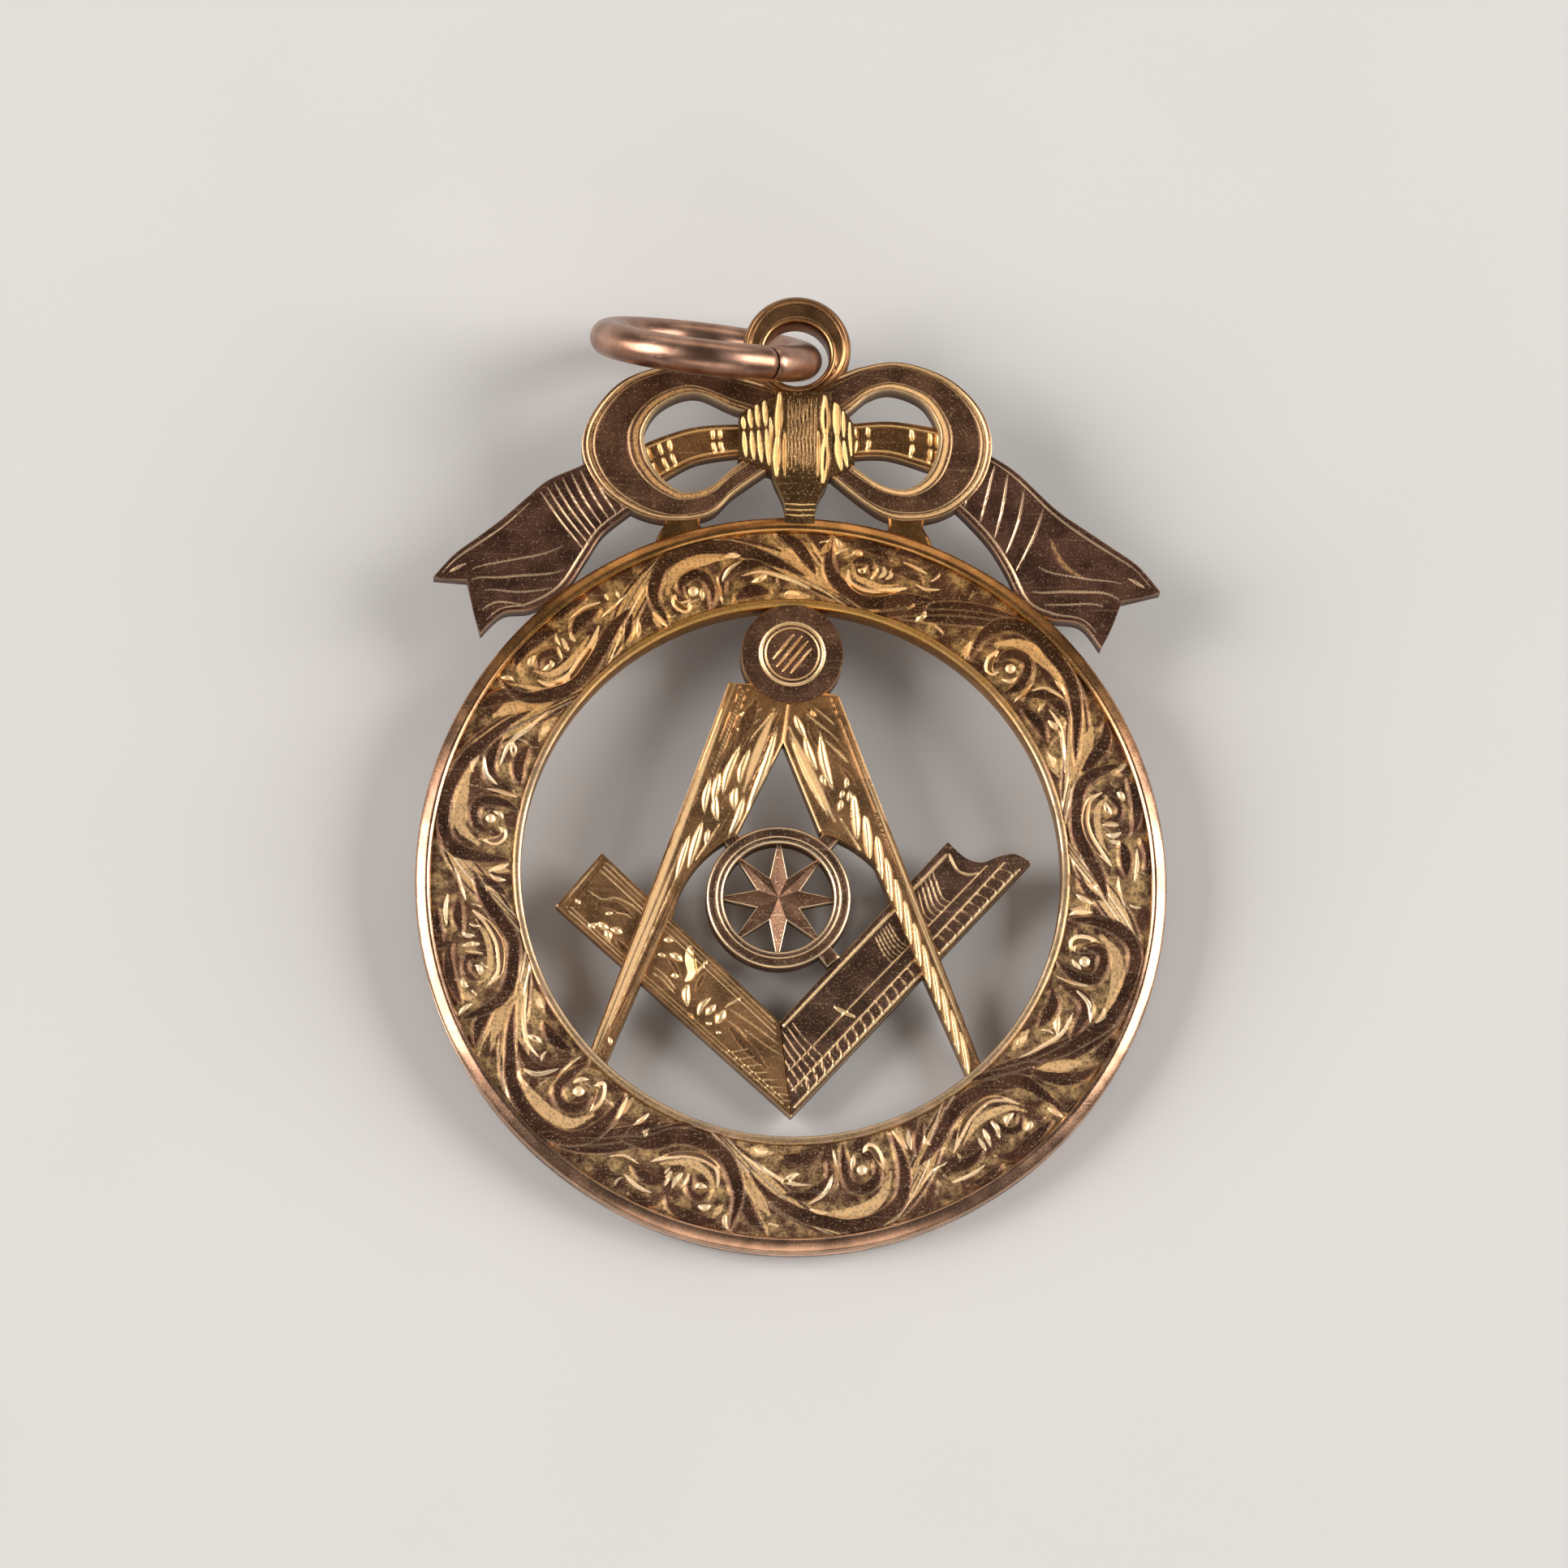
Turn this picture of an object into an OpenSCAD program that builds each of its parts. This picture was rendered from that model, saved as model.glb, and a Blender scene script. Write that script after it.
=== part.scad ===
// Watch fob: a pierced and engraved gold ring that holds a pair of compasses over a set square,
// with a ribbon bow and an eye above it, and a loose jump ring through the eye.
// Millimetres. The fob is drawn flat, its back on Z = 0 and its face up, +Y towards the eye,
// with the middle of the ring at the origin. It is then laid down leaning on its jump ring.

/* [Ring] */
// Outer diameter of the ring
ring_d = 27; // [25:0.5:30]
// Diameter of the round opening in the ring
hole_d = 19.4; // [19:0.1:19.8]
// Height of the opening's middle above the ring's middle
hole_rise = 0.42; // [0.2:0.02:0.5]
// Thickness of the ring over its outer lip
ring_t = 1.25; // [1.1:0.05:1.5]
// Depth of the engraved field below the outer lip
field_drop = 0.25; // [0.15:0.05:0.35]
// Width of the rounded outer lip
lip_w = 0.76; // [0.6:0.02:0.9]
// Width of the narrow rim round the opening
rim_w = 0.38; // [0.3:0.02:0.5]
// Width of the bevel round the back edge of the ring
back_bevel = 0.1; // [0.05:0.05:0.15]
// Height of the scrollwork above the field
scroll_h = 0.14; // [0.08:0.02:0.2]

/* [Compasses and square] */
// Thickness of the compasses
legs_t = 1.05; // [0.9:0.05:1.2]
// Thickness of the set square under the compasses
square_t = 0.8; // [0.6:0.05:0.85]
// Radius of the round head of the compasses
head_r = 1.85; // [1.7:0.05:2]
// Width of the left leg's bar at its foot
left_foot_w = 0.68; // [0.6:0.02:0.8]
// Width of the right leg's bar at its foot
right_foot_w = 0.56; // [0.5:0.02:0.7]
// Growth of a leg's bar from its foot to its top
leg_growth = 0.7; // [0.5:0.05:0.9]
// Outer radius of the ring round the small star
star_ring_r = 2.6; // [2.5:0.05:2.65]
// Width of the ring round the small star
star_ring_w = 0.62; // [0.5:0.02:0.8]

/* [Bow] */
// Thickness of the bow's loops
loop_t = 1.0; // [0.9:0.05:1.1]
// Thickness of the ribbon that crosses inside each loop
inner_ribbon_t = 0.75; // [0.6:0.05:0.8]
// Thickness of the ribbon's two tails
tail_t = 0.9; // [0.8:0.05:0.95]
// Thickness of the knot under its ribs
knot_t = 1.1; // [1:0.05:1.2]

/* [Eye and jump ring] */
// Outer radius of the eye above the bow
eye_r = 1.96; // [1.9:0.02:2.1]
// Radius of the hole through the eye
eye_hole_r = 1.2; // [1.18:0.01:1.25]
// Thickness of the eye over its collar
eye_t = 1.35; // [1.2:0.05:1.4]
// Outer diameter of the jump ring
jump_d = 8.5; // [8.2:0.1:8.8]
// Thickness of the jump ring's wire
wire_d = 1.32; // [1.2:0.02:1.34]
// Lean of the jump ring away from square to the fob, in degrees
jump_lean = 20.7; // [15:0.1:22]

/* [Hidden] */
$fn = 96;

gold = "#b98d4a";
rose_gold = "#c79272";

ring_r = ring_d / 2;
wall_r = ring_r - 0.05;
back_r = wall_r - back_bevel;
hole_r = hole_d / 2;
hole_at = [0, hole_rise];
field_t = ring_t - field_drop;
rim_t = ring_t - 0.12;

// Scrolls round the ring: angle clockwise from the top, and which edge of the field each opens to
scroll_angles = [16, 45, 79, 104, 139, 168, 198, 224, 255, 279, 316, 341];

// Sections of the bow's two loops, from the top of the knot round to its foot.
// Columns: outer x, outer y, inner x, inner y
left_loop = [
    [-0.60, 18.30, -0.90, 17.10],
    [-2.20, 18.75, -2.30, 17.50],
    [-4.30, 19.12, -3.70, 18.05],
    [-6.25, 18.55, -4.90, 17.60],
    [-7.45, 17.20, -5.52, 16.65],
    [-7.78, 15.85, -5.40, 15.65],
    [-7.15, 14.50, -4.95, 14.95],
    [-5.90, 13.62, -4.50, 14.55],
    [-4.60, 13.30, -3.95, 14.34],
    [-3.15, 13.52, -3.10, 14.60],
    [-2.25, 14.35, -2.30, 15.30],
    [-0.90, 15.35, -0.90, 16.40]
];
right_loop = [
    [0.60, 18.40, 0.90, 17.00],
    [1.50, 18.88, 1.80, 17.45],
    [2.50, 19.25, 2.60, 18.12],
    [3.80, 19.41, 3.45, 18.34],
    [5.45, 18.87, 4.52, 17.92],
    [6.60, 17.80, 5.08, 17.00],
    [7.08, 16.45, 5.10, 16.15],
    [6.75, 15.00, 4.70, 15.15],
    [5.75, 13.95, 3.95, 14.65],
    [4.50, 13.52, 3.10, 14.78],
    [3.05, 13.70, 2.15, 15.40],
    [1.00, 15.25, 0.90, 16.40]
];

// Sections of the ribbon that crosses inside each loop, from the knot outwards.
// Columns: upper x, upper y, lower x, lower y
left_inner_ribbon = [
    [-0.90, 17.00, -0.90, 15.95],
    [-2.60, 16.98, -2.40, 15.82],
    [-3.87, 16.82, -3.65, 15.56],
    [-5.13, 16.38, -4.58, 15.04],
    [-5.95, 15.95, -5.20, 14.60]
];
right_inner_ribbon = [
    [0.90, 17.05, 0.90, 15.85],
    [1.90, 17.12, 1.90, 15.88],
    [3.40, 17.24, 3.30, 15.92],
    [4.95, 17.05, 4.85, 15.48],
    [5.80, 16.80, 5.55, 15.20]
];

// Sections of the two tails, from under the loops outwards.
// Columns: upper x, upper y, lower x, lower y
left_tail = [
    [-6.90, 15.90, -5.30, 14.20],
    [-7.75, 15.32, -5.98, 13.64],
    [-8.98, 14.72, -6.95, 12.80],
    [-9.85, 13.95, -7.55, 11.85],
    [-10.64, 13.22, -8.35, 10.60],
    [-11.50, 12.52, -9.50, 9.90],
    [-12.31, 11.88, -10.54, 9.72],
    [-13.06, 11.02, -11.33, 8.95]
];
right_tail = [
    [6.40, 16.30, 5.20, 14.45],
    [7.15, 15.95, 5.86, 13.95],
    [8.05, 15.35, 6.95, 12.80],
    [9.40, 14.08, 7.65, 11.70],
    [10.40, 13.38, 8.30, 10.40],
    [11.50, 12.65, 9.25, 9.95],
    [12.45, 11.98, 10.35, 9.78],
    [13.24, 11.06, 11.09, 8.90]
];
// Swallowtail cut of each tail: share of the width from the upper tip, and depth
left_notch = [0.36, 0.9];
right_notch = [0.44, 0.8];

// The compasses: head, outer line of each leg from top to foot, and the opening between them
head_at = [-0.08, 8.37];
left_leg = [[-2.35, 7.30], [-7.33, -6.90]];
right_leg = [[1.62, 6.90], [7.08, -7.10]];
gap_top = [-0.36, 5.14];
gap_left = [-2.12, 1.43];
gap_right = [1.10, 1.60];
left_web_at = [-0.25, -1.90];
right_web_at = [0.10, -2.05];
web_r = 4.0;

// The set square: outer corner, inner corner and the ends of its two arms
square_corner = [0.10, -8.50];
square_inner = [-0.34, -5.07];
left_arm_end = [[-8.41, -0.99], [-6.81, 0.97]];
// The right arm ends in a small moulded curve, from its outer tip to its inner tip
right_arm_end = [[8.61, 0.96], [8.05, 1.25], [7.45, 1.15], [6.85, 0.92], [6.25, 1.08], [5.61, 1.65]];

// The small star in the middle
star_at = [-0.45, -0.55];
star_points = 8;

// The eye, and where the wire passes through it
eye_at = [-0.03, 19.86];
eye_hole_at = [-0.05, 19.55];
wire_through = [0.23, 19.45];
jump_turn = 6;
jump_r = (jump_d - wire_d) / 2;
split_at = 50;
split_angle = 1.2;

// A point at share s of the way along a smooth curve through four points, between b and c
function between(a, b, c, d, s) =
    0.5 * (2 * b + (c - a) * s + (2 * a - 5 * b + 4 * c - d) * s * s + (3 * b - a - 3 * c + d) * s * s * s);

// A smooth curve through a list of points, with some steps between each two
function smooth(p, steps = 4) =
    let (last = len(p) - 1)
    [
        for (i = [0 : last - 1])
            for (k = [0 : steps - 1])
                between(p[max(i - 1, 0)], p[i], p[i + 1], p[min(i + 2, last)], k / steps),
        p[last]
    ];

function backwards(p) = [for (i = [len(p) - 1 : -1 : 0]) p[i]];
function first_edge(rows) = [for (r = rows) [r[0], r[1]]];
function second_edge(rows) = [for (r = rows) [r[2], r[3]]];
function unit(v) = v / norm(v);
function polar(r, a) = [r * cos(a), r * sin(a)];

// A point on a circle round the ring's middle, by its angle clockwise from the top
function on_ring(r, a) = [r * sin(a), r * cos(a)];

// The inner edge of the engraved field, measured from the ring's middle
function field_start(a) = hole_rise * cos(a) + hole_r + rim_w;

// Outline of a ribbon from its rows, with an optional swallowtail end
function ribbon_outline(rows, notch = []) =
    let (
        first = smooth(first_edge(rows)),
        second = smooth(second_edge(rows)),
        tip_a = first[len(first) - 1],
        tip_b = second[len(second) - 1],
        across = unit(tip_b - tip_a),
        inwards = [across[1], -across[0]],
        turned = inwards * (first[0] - tip_a) < 0 ? -inwards : inwards,
        cut = notch == [] ? [] : [tip_a + notch[0] * (tip_b - tip_a) + notch[1] * turned]
    )
    concat(first, cut, backwards(second));

// The foot on a leg's outer line that is square to a point, moved in by a distance
function beside(leg, side, along, inset) =
    let (run = unit(leg[1] - leg[0]))
    leg[0] + along * run + side * inset * [-run[1], run[0]];

module slab(t) {
    linear_extrude(t) children();
}

// Round frame with a rounded lip, a groove round its edge and a narrow rim round the opening
module ring_frame() {
    lip_r = lip_w / 2;
    core_r = hole_r - 1.5;
    groove_z = 0.36;
    groove_w = 0.12;
    groove_depth = 0.09;
    difference() {
        union() {
            rotate_extrude() {
                difference() {
                    union() {
                        polygon([
                            [core_r, 0], [back_r, 0], [wall_r, back_bevel],
                            [wall_r, field_t], [core_r, field_t]
                        ]);
                        translate([ring_r - lip_r, ring_t - lip_r]) circle(lip_r);
                    }
                    translate([wall_r - groove_depth, groove_z]) square([1, groove_w]);
                }
            }
            translate(hole_at) cylinder(r = hole_r + rim_w, h = rim_t);
        }
        translate([hole_at[0], hole_at[1], -1]) cylinder(r = hole_r, h = ring_t + 2);
    }
}

// One curl of the scrollwork: a crescent with a bead at its eye
module scroll_curl(size) {
    difference() {
        circle(0.46 * size);
        translate([0.13 * size, 0.05 * size]) circle(0.33 * size);
    }
    translate([0.06 * size, 0.03 * size]) circle(0.15 * size);
}

// One slanted leaf between two curls
module scroll_leaf(size) {
    intersection() {
        translate([-0.62 * size, 0]) circle(0.78 * size);
        translate([0.62 * size, 0]) circle(0.78 * size);
    }
}

// Running scrollwork in the field of the ring, curls turned in and out by turns
module scrollwork() {
    field_end = ring_r - lip_w;
    for (i = [0 : len(scroll_angles) - 1]) {
        a = scroll_angles[i];
        next = i + 1 < len(scroll_angles) ? scroll_angles[i + 1] : scroll_angles[0] + 360;
        outward = i % 2 == 0;
        size = field_end - field_start(a);
        middle = (field_end + field_start(a)) / 2 + (outward ? 0.02 : -0.02) * size;
        b = (a + next) / 2;
        leaf_size = field_end - field_start(b);
        leaf_middle = (field_end + field_start(b)) / 2;
        place = on_ring(middle, a);
        leaf_place = on_ring(leaf_middle, b);
        translate([place[0], place[1], field_t - 0.05])
            slab(scroll_h + 0.05)
                rotate((outward ? 90 : -90) - a) scroll_curl(0.92 * size);
        translate([leaf_place[0], leaf_place[1], field_t - 0.05])
            slab(scroll_h + 0.03)
                rotate((outward ? 38 : -38) - b) scroll_leaf(0.8 * leaf_size);
    }
}

// One leg of the compasses: wide above, with a web cut round, and narrow down to the ring
module compass_leg(leg, side, foot_w, gap_corner, web_at) {
    foot = norm(leg[1] - leg[0]);
    slab(legs_t) {
        polygon([
            leg[0],
            leg[1],
            beside(leg, side, foot, foot_w),
            beside(leg, side, 0, foot_w + leg_growth)
        ]);
        difference() {
            polygon([
                leg[0],
                beside(leg, side, 0.66 * foot, 0.3),
                gap_corner + [0, -1.2],
                gap_corner,
                gap_top,
                head_at - [0, 1.2]
            ]);
            translate(web_at) circle(web_r);
        }
    }
}

// Round head of the compasses, with the slotted pin of its hinge engraved on it
module compass_head() {
    slot_angle = 38;
    difference() {
        translate(head_at) cylinder(r = head_r, h = legs_t + 0.1);
        translate([head_at[0], head_at[1], legs_t + 0.02]) {
            difference() {
                cylinder(r = 1.22, h = 1);
                translate([0, 0, -1]) cylinder(r = 1.1, h = 3);
            }
            for (k = [-1 : 1])
                rotate(90 - slot_angle) translate([0.42 * k, 0, 0.5]) cube([0.1, 1.7, 1], center = true);
        }
    }
}

module compasses() {
    compass_leg(left_leg, 1, left_foot_w, gap_left, left_web_at);
    compass_leg(right_leg, -1, right_foot_w, gap_right, right_web_at);
    compass_head();
}

// Set square: two arms of flat bar that meet in a corner, the right one with a moulded end
module set_square() {
    slab(square_t) {
        polygon([left_arm_end[0], square_corner, square_inner, left_arm_end[1]]);
        polygon(concat([square_corner], smooth(right_arm_end, 3), [square_inner]));
    }
}

// Small star in a ring, held by the compasses and the square
module star_boss() {
    ray_r = star_ring_r - star_ring_w / 2;
    waist_r = 0.36 * ray_r;
    translate([star_at[0], star_at[1], 0.1]) {
        difference() {
            cylinder(r = star_ring_r, h = square_t);
            translate([0, 0, -1]) cylinder(r = star_ring_r - star_ring_w, h = 3);
        }
        slab(square_t - 0.1)
            polygon([
                for (k = [0 : 2 * star_points - 1])
                    polar(k % 2 == 0 ? ray_r : waist_r, 90 + 180 * k / star_points)
            ]);
        for (a = [51, 129, 311])
            rotate(a) translate([star_ring_r - 0.3, -0.28, 0]) cube([0.75, 0.56, square_t - 0.05]);
    }
}

// One loop of the bow, with the ribbon that crosses inside it and the lug that holds it to the ring
module bow_loop(rows, inner_rows, lug_x) {
    lug_y = sqrt(ring_r * ring_r - lug_x * lug_x);
    slab(loop_t) polygon(ribbon_outline(rows));
    slab(inner_ribbon_t) polygon(ribbon_outline(inner_rows));
    translate([lug_x - 0.65, lug_y - 0.5, 0]) cube([1.3, 1.45, loop_t - 0.1]);
}

module bow_tail(rows, notch) {
    slab(tail_t) polygon(ribbon_outline(rows, notch));
}

// Knot of the bow: a strap over the middle that narrows down to the ring, with upright ribs
module knot() {
    ribs = 5;
    rib_gap = 0.4;
    rib_r = 0.2;
    slab(knot_t)
        polygon([
            [-0.95, 18.2], [-1.0, 15.3], [-0.9, 14.75], [-0.6, 14.3], [-0.5, 13.2],
            [0.62, 13.2], [0.7, 14.3], [1.05, 14.75], [1.12, 15.3], [1.1, 18.2]
        ]);
    for (k = [0 : ribs - 1])
        translate([0.06 + (k - (ribs - 1) / 2) * rib_gap, 14.7, knot_t - 0.02])
            rotate([-90, 0, 0]) cylinder(r = rib_r, h = 3.3);
}

// Eye at the top: a sloping rim round a raised collar
module eye() {
    difference() {
        union() {
            translate(eye_at)
                rotate_extrude()
                    polygon([
                        [0, 0], [eye_r - 0.1, 0], [eye_r, 0.15], [eye_r, 0.8],
                        [eye_r - 0.15, 0.95], [1.3, eye_t - 0.15], [0, eye_t - 0.15]
                    ]);
            translate(eye_hole_at) cylinder(r = eye_hole_r + 0.24, h = eye_t);
        }
        translate([eye_hole_at[0], eye_hole_at[1], -1]) cylinder(r = eye_hole_r, h = eye_t + 2);
    }
}

// Where the laid fob touches the surface: the jump ring's foot, and how far below the back it is
jump_middle = [
    wire_through[0] - jump_r * cos(jump_turn),
    wire_through[1] + jump_r * sin(jump_turn)
];
foot_at = jump_middle + jump_r * sin(jump_lean) * [sin(jump_turn), cos(jump_turn)];
foot_drop = jump_r * cos(jump_lean) + wire_d / 2 - eye_t / 2;

// The plate leans in the direction that puts its weight over the line between its two contacts
lean_turn = 11;
low_side = [sin(lean_turn), -cos(lean_turn)];
lean = atan(foot_drop / (back_r - low_side * foot_at));

// Lift that stands the back edge of the ring on Z = 0, and shift to the middle of the box.
// The far end of the box is the upright jump ring's, the near end the ring's
lift = back_r * sin(lean);
far_y = jump_middle[1] * cos(lean) - eye_t / 2 * sin(lean) + wire_d / 2
    + jump_r * norm([sin(jump_turn), cos(jump_turn) * sin(jump_lean + lean)]);
shift = [0, (ring_r - far_y) / 2];

module laid_down() {
    translate([shift[0], shift[1], lift])
        rotate(a = lean, v = [cos(lean_turn), sin(lean_turn), 0])
            children();
}

module fob_plate() {
    color(gold)
        laid_down() {
            ring_frame();
            scrollwork();
            compasses();
            set_square();
            star_boss();
            bow_loop(left_loop, left_inner_ribbon, -4.1);
            bow_loop(right_loop, right_inner_ribbon, 4.0);
            bow_tail(left_tail, left_notch);
            bow_tail(right_tail, right_notch);
            knot();
            eye();
        }
}

// Jump ring: round wire bent to a circle, its two ends nearly closed
module jump_ring() {
    color(rose_gold)
        laid_down()
            translate([wire_through[0], wire_through[1], eye_t / 2])
                rotate([0, 0, -jump_turn])
                    rotate([90 + jump_lean, 0, 0])
                        translate([-jump_r, 0, 0])
                            rotate(split_at + split_angle / 2)
                                rotate_extrude(angle = 360 - split_angle)
                                    translate([jump_r, 0]) circle(wire_d / 2);
}

fob_plate();
jump_ring();
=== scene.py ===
import math

import bmesh
import bpy
import numpy as np
from mathutils import Matrix, Vector


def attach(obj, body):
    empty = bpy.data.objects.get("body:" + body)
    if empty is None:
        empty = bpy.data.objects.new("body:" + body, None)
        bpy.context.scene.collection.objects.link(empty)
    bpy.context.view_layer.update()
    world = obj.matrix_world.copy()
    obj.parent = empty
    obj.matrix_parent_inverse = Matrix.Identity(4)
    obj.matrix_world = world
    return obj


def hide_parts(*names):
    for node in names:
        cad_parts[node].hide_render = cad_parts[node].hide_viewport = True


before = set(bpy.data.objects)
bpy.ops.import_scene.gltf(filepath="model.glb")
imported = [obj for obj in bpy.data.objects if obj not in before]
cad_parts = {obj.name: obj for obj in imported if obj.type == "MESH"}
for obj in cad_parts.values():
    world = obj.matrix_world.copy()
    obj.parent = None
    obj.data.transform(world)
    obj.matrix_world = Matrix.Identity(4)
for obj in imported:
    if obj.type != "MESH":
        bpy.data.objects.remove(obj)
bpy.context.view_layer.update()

# Watch fob: a pierced and engraved gold ring that holds a pair of compasses over a set square,
# with a ribbon bow and an eye above it, and a loose jump ring through the eye.
# Shapes are worked out in the plate's own millimetres: its back on Z = 0, its face up, +Y towards
# the eye and the ring's middle at the origin. Every point is then laid down as the solid plate is.

MM = 0.001

# Driving sizes of the plate. The opening's middle is HOLE_RISE above the ring's, and the engraved field
# runs in under the rim and the lip by RIM_TUCK and LIP_TUCK.
RING_R = 13.5
BACK_R = 13.35
HOLE_R = 9.7
HOLE_RISE = 0.42
FIELD_T = 1.0
FIELD_UNDER = 0.85
LIP_W = 0.60
RIM_W = 0.38
RIM_TUCK = 0.09
LIP_TUCK = 0.01
LEGS_T = 1.05
SQUARE_T = 0.8
HEAD_AT = np.array([-0.08, 8.37])
HEAD_R = 1.85
HEAD_T = LEGS_T + 0.1
STAR_AT = np.array([-0.45, -0.55])
STAR_RAY = 2.29
STAR_UNDER = 0.1
STAR_RING_R = 2.6
STAR_RING_W = 0.62
STAR_RING_T = 0.9
SPUR_T = 0.85
LOOP_T = 1.0
INNER_RIBBON_T = 0.75
TAIL_T = 0.9
KNOT_T = 1.1
KNOT_X = 0.16
LUG_T = 0.9
EYE_AT = np.array([-0.03, 19.86])
EYE_HOLE_AT = np.array([-0.05, 19.55])
EYE_R = 1.96
EYE_HOLE_R = 1.2
EYE_T = 1.35
JUMP_D = 8.5
WIRE_D = 1.32
JUMP_R = (JUMP_D - WIRE_D) / 2
JUMP_LEAN = math.radians(20.7)
JUMP_TURN = math.radians(6)
JUMP_SPLIT = math.radians(50)
JUMP_GAP = math.radians(1.2)
WIRE_THROUGH = np.array([0.23, 19.45])
LEAN_TURN = math.radians(11)

# Edges that turn by more than this are shaded sharp
SHARP = math.radians(42)

# How the laid fob stands: the jump ring's foot, how far it is below the back, and the lean it gives
jump_middle = WIRE_THROUGH + JUMP_R * np.array([-math.cos(JUMP_TURN), math.sin(JUMP_TURN)])
foot_at = jump_middle + JUMP_R * math.sin(JUMP_LEAN) * np.array([math.sin(JUMP_TURN), math.cos(JUMP_TURN)])
foot_drop = JUMP_R * math.cos(JUMP_LEAN) + WIRE_D / 2 - EYE_T / 2
low_side = np.array([math.sin(LEAN_TURN), -math.cos(LEAN_TURN)])
LEAN = math.atan(foot_drop / (BACK_R - low_side @ foot_at))
far_y = (
    jump_middle[1] * math.cos(LEAN) - EYE_T / 2 * math.sin(LEAN) + WIRE_D / 2
    + JUMP_R * math.hypot(math.sin(JUMP_TURN), math.cos(JUMP_TURN) * math.sin(JUMP_LEAN + LEAN))
)
LAID_TURN = np.array(Matrix.Rotation(LEAN, 3, Vector((math.cos(LEAN_TURN), math.sin(LEAN_TURN), 0))))
LAID_SHIFT = np.array([0, (RING_R - far_y) / 2, BACK_R * math.sin(LEAN)])


def laid(points):
    """World metres of plate points: turned by the lean about the lean's axis, then shifted and lifted."""
    return (np.asarray(points, float) @ LAID_TURN.T + LAID_SHIFT) * MM


def smooth(points, steps=8):
    """Curve through the points: between two of them the cubic whose slope at each point is half the
    step between that point's neighbours, cut into equal steps of its parameter."""
    p = np.asarray(points, float)
    a = np.vstack([p[:1], p[:-2]])
    b = p[:-1]
    c = p[1:]
    d = np.vstack([p[2:], p[-1:]])
    s = np.linspace(0, 1, steps, endpoint=False)[:, None, None]
    cubic = 0.5 * (
        2 * b + (c - a) * s + (2 * a - 5 * b + 4 * c - d) * s**2 + (3 * b - a - 3 * c + d) * s**3
    )
    return np.vstack([cubic.transpose(1, 0, 2).reshape(-1, p.shape[1]), p[-1:]])


def point_on(curve, share):
    """Point of a curve at a share of its steps, straight between its own points."""
    part = np.linspace(0, 1, len(curve))
    return np.stack([np.interp(share, part, curve[:, k]) for k in range(2)], -1)


def ramp(x, low, high):
    """Smooth step: 0 below low, 1 above high, and 3t^2 - 2t^3 between them."""
    t = np.clip((x - low) / (high - low), 0, 1)
    return t * t * (3 - 2 * t)


def swelling(part, power):
    """0 at both ends of a line and 1 in its middle: the sine of half a turn, raised to a power."""
    return np.sin(np.pi * np.clip(part, 0.0, 1.0)) ** power


def heading(degrees):
    """Unit vector at an angle from +X, counter-clockwise."""
    a = math.radians(degrees)
    return np.array([math.cos(a), math.sin(a)])


def leftward(way):
    """Vectors turned a quarter turn to the left."""
    return np.stack([-way[..., 1], way[..., 0]], -1)


def on_ring(angle, radius):
    """Point on a circle about the ring's middle, the angle in degrees clockwise from the top."""
    a = np.radians(angle)
    return np.stack([radius * np.sin(a), radius * np.cos(a)], -1)


def opening_radius(angle):
    """Distance from the ring's middle to the opening's edge: h cos a + sqrt(R^2 - h^2 sin^2 a)."""
    a = np.radians(angle)
    return HOLE_RISE * np.cos(a) + np.sqrt(HOLE_R**2 - (HOLE_RISE * np.sin(a)) ** 2)


def field_edges(angle):
    """Radius of the engraved field's inner and outer border at an angle."""
    return opening_radius(angle) + RIM_W - RIM_TUCK, RING_R - LIP_W + LIP_TUCK


def on_band(angle, share):
    """Point of the field at a share of the way from its inner to its outer border."""
    inner, outer = field_edges(angle)
    return on_ring(angle, inner + (outer - inner) * share)


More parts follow.
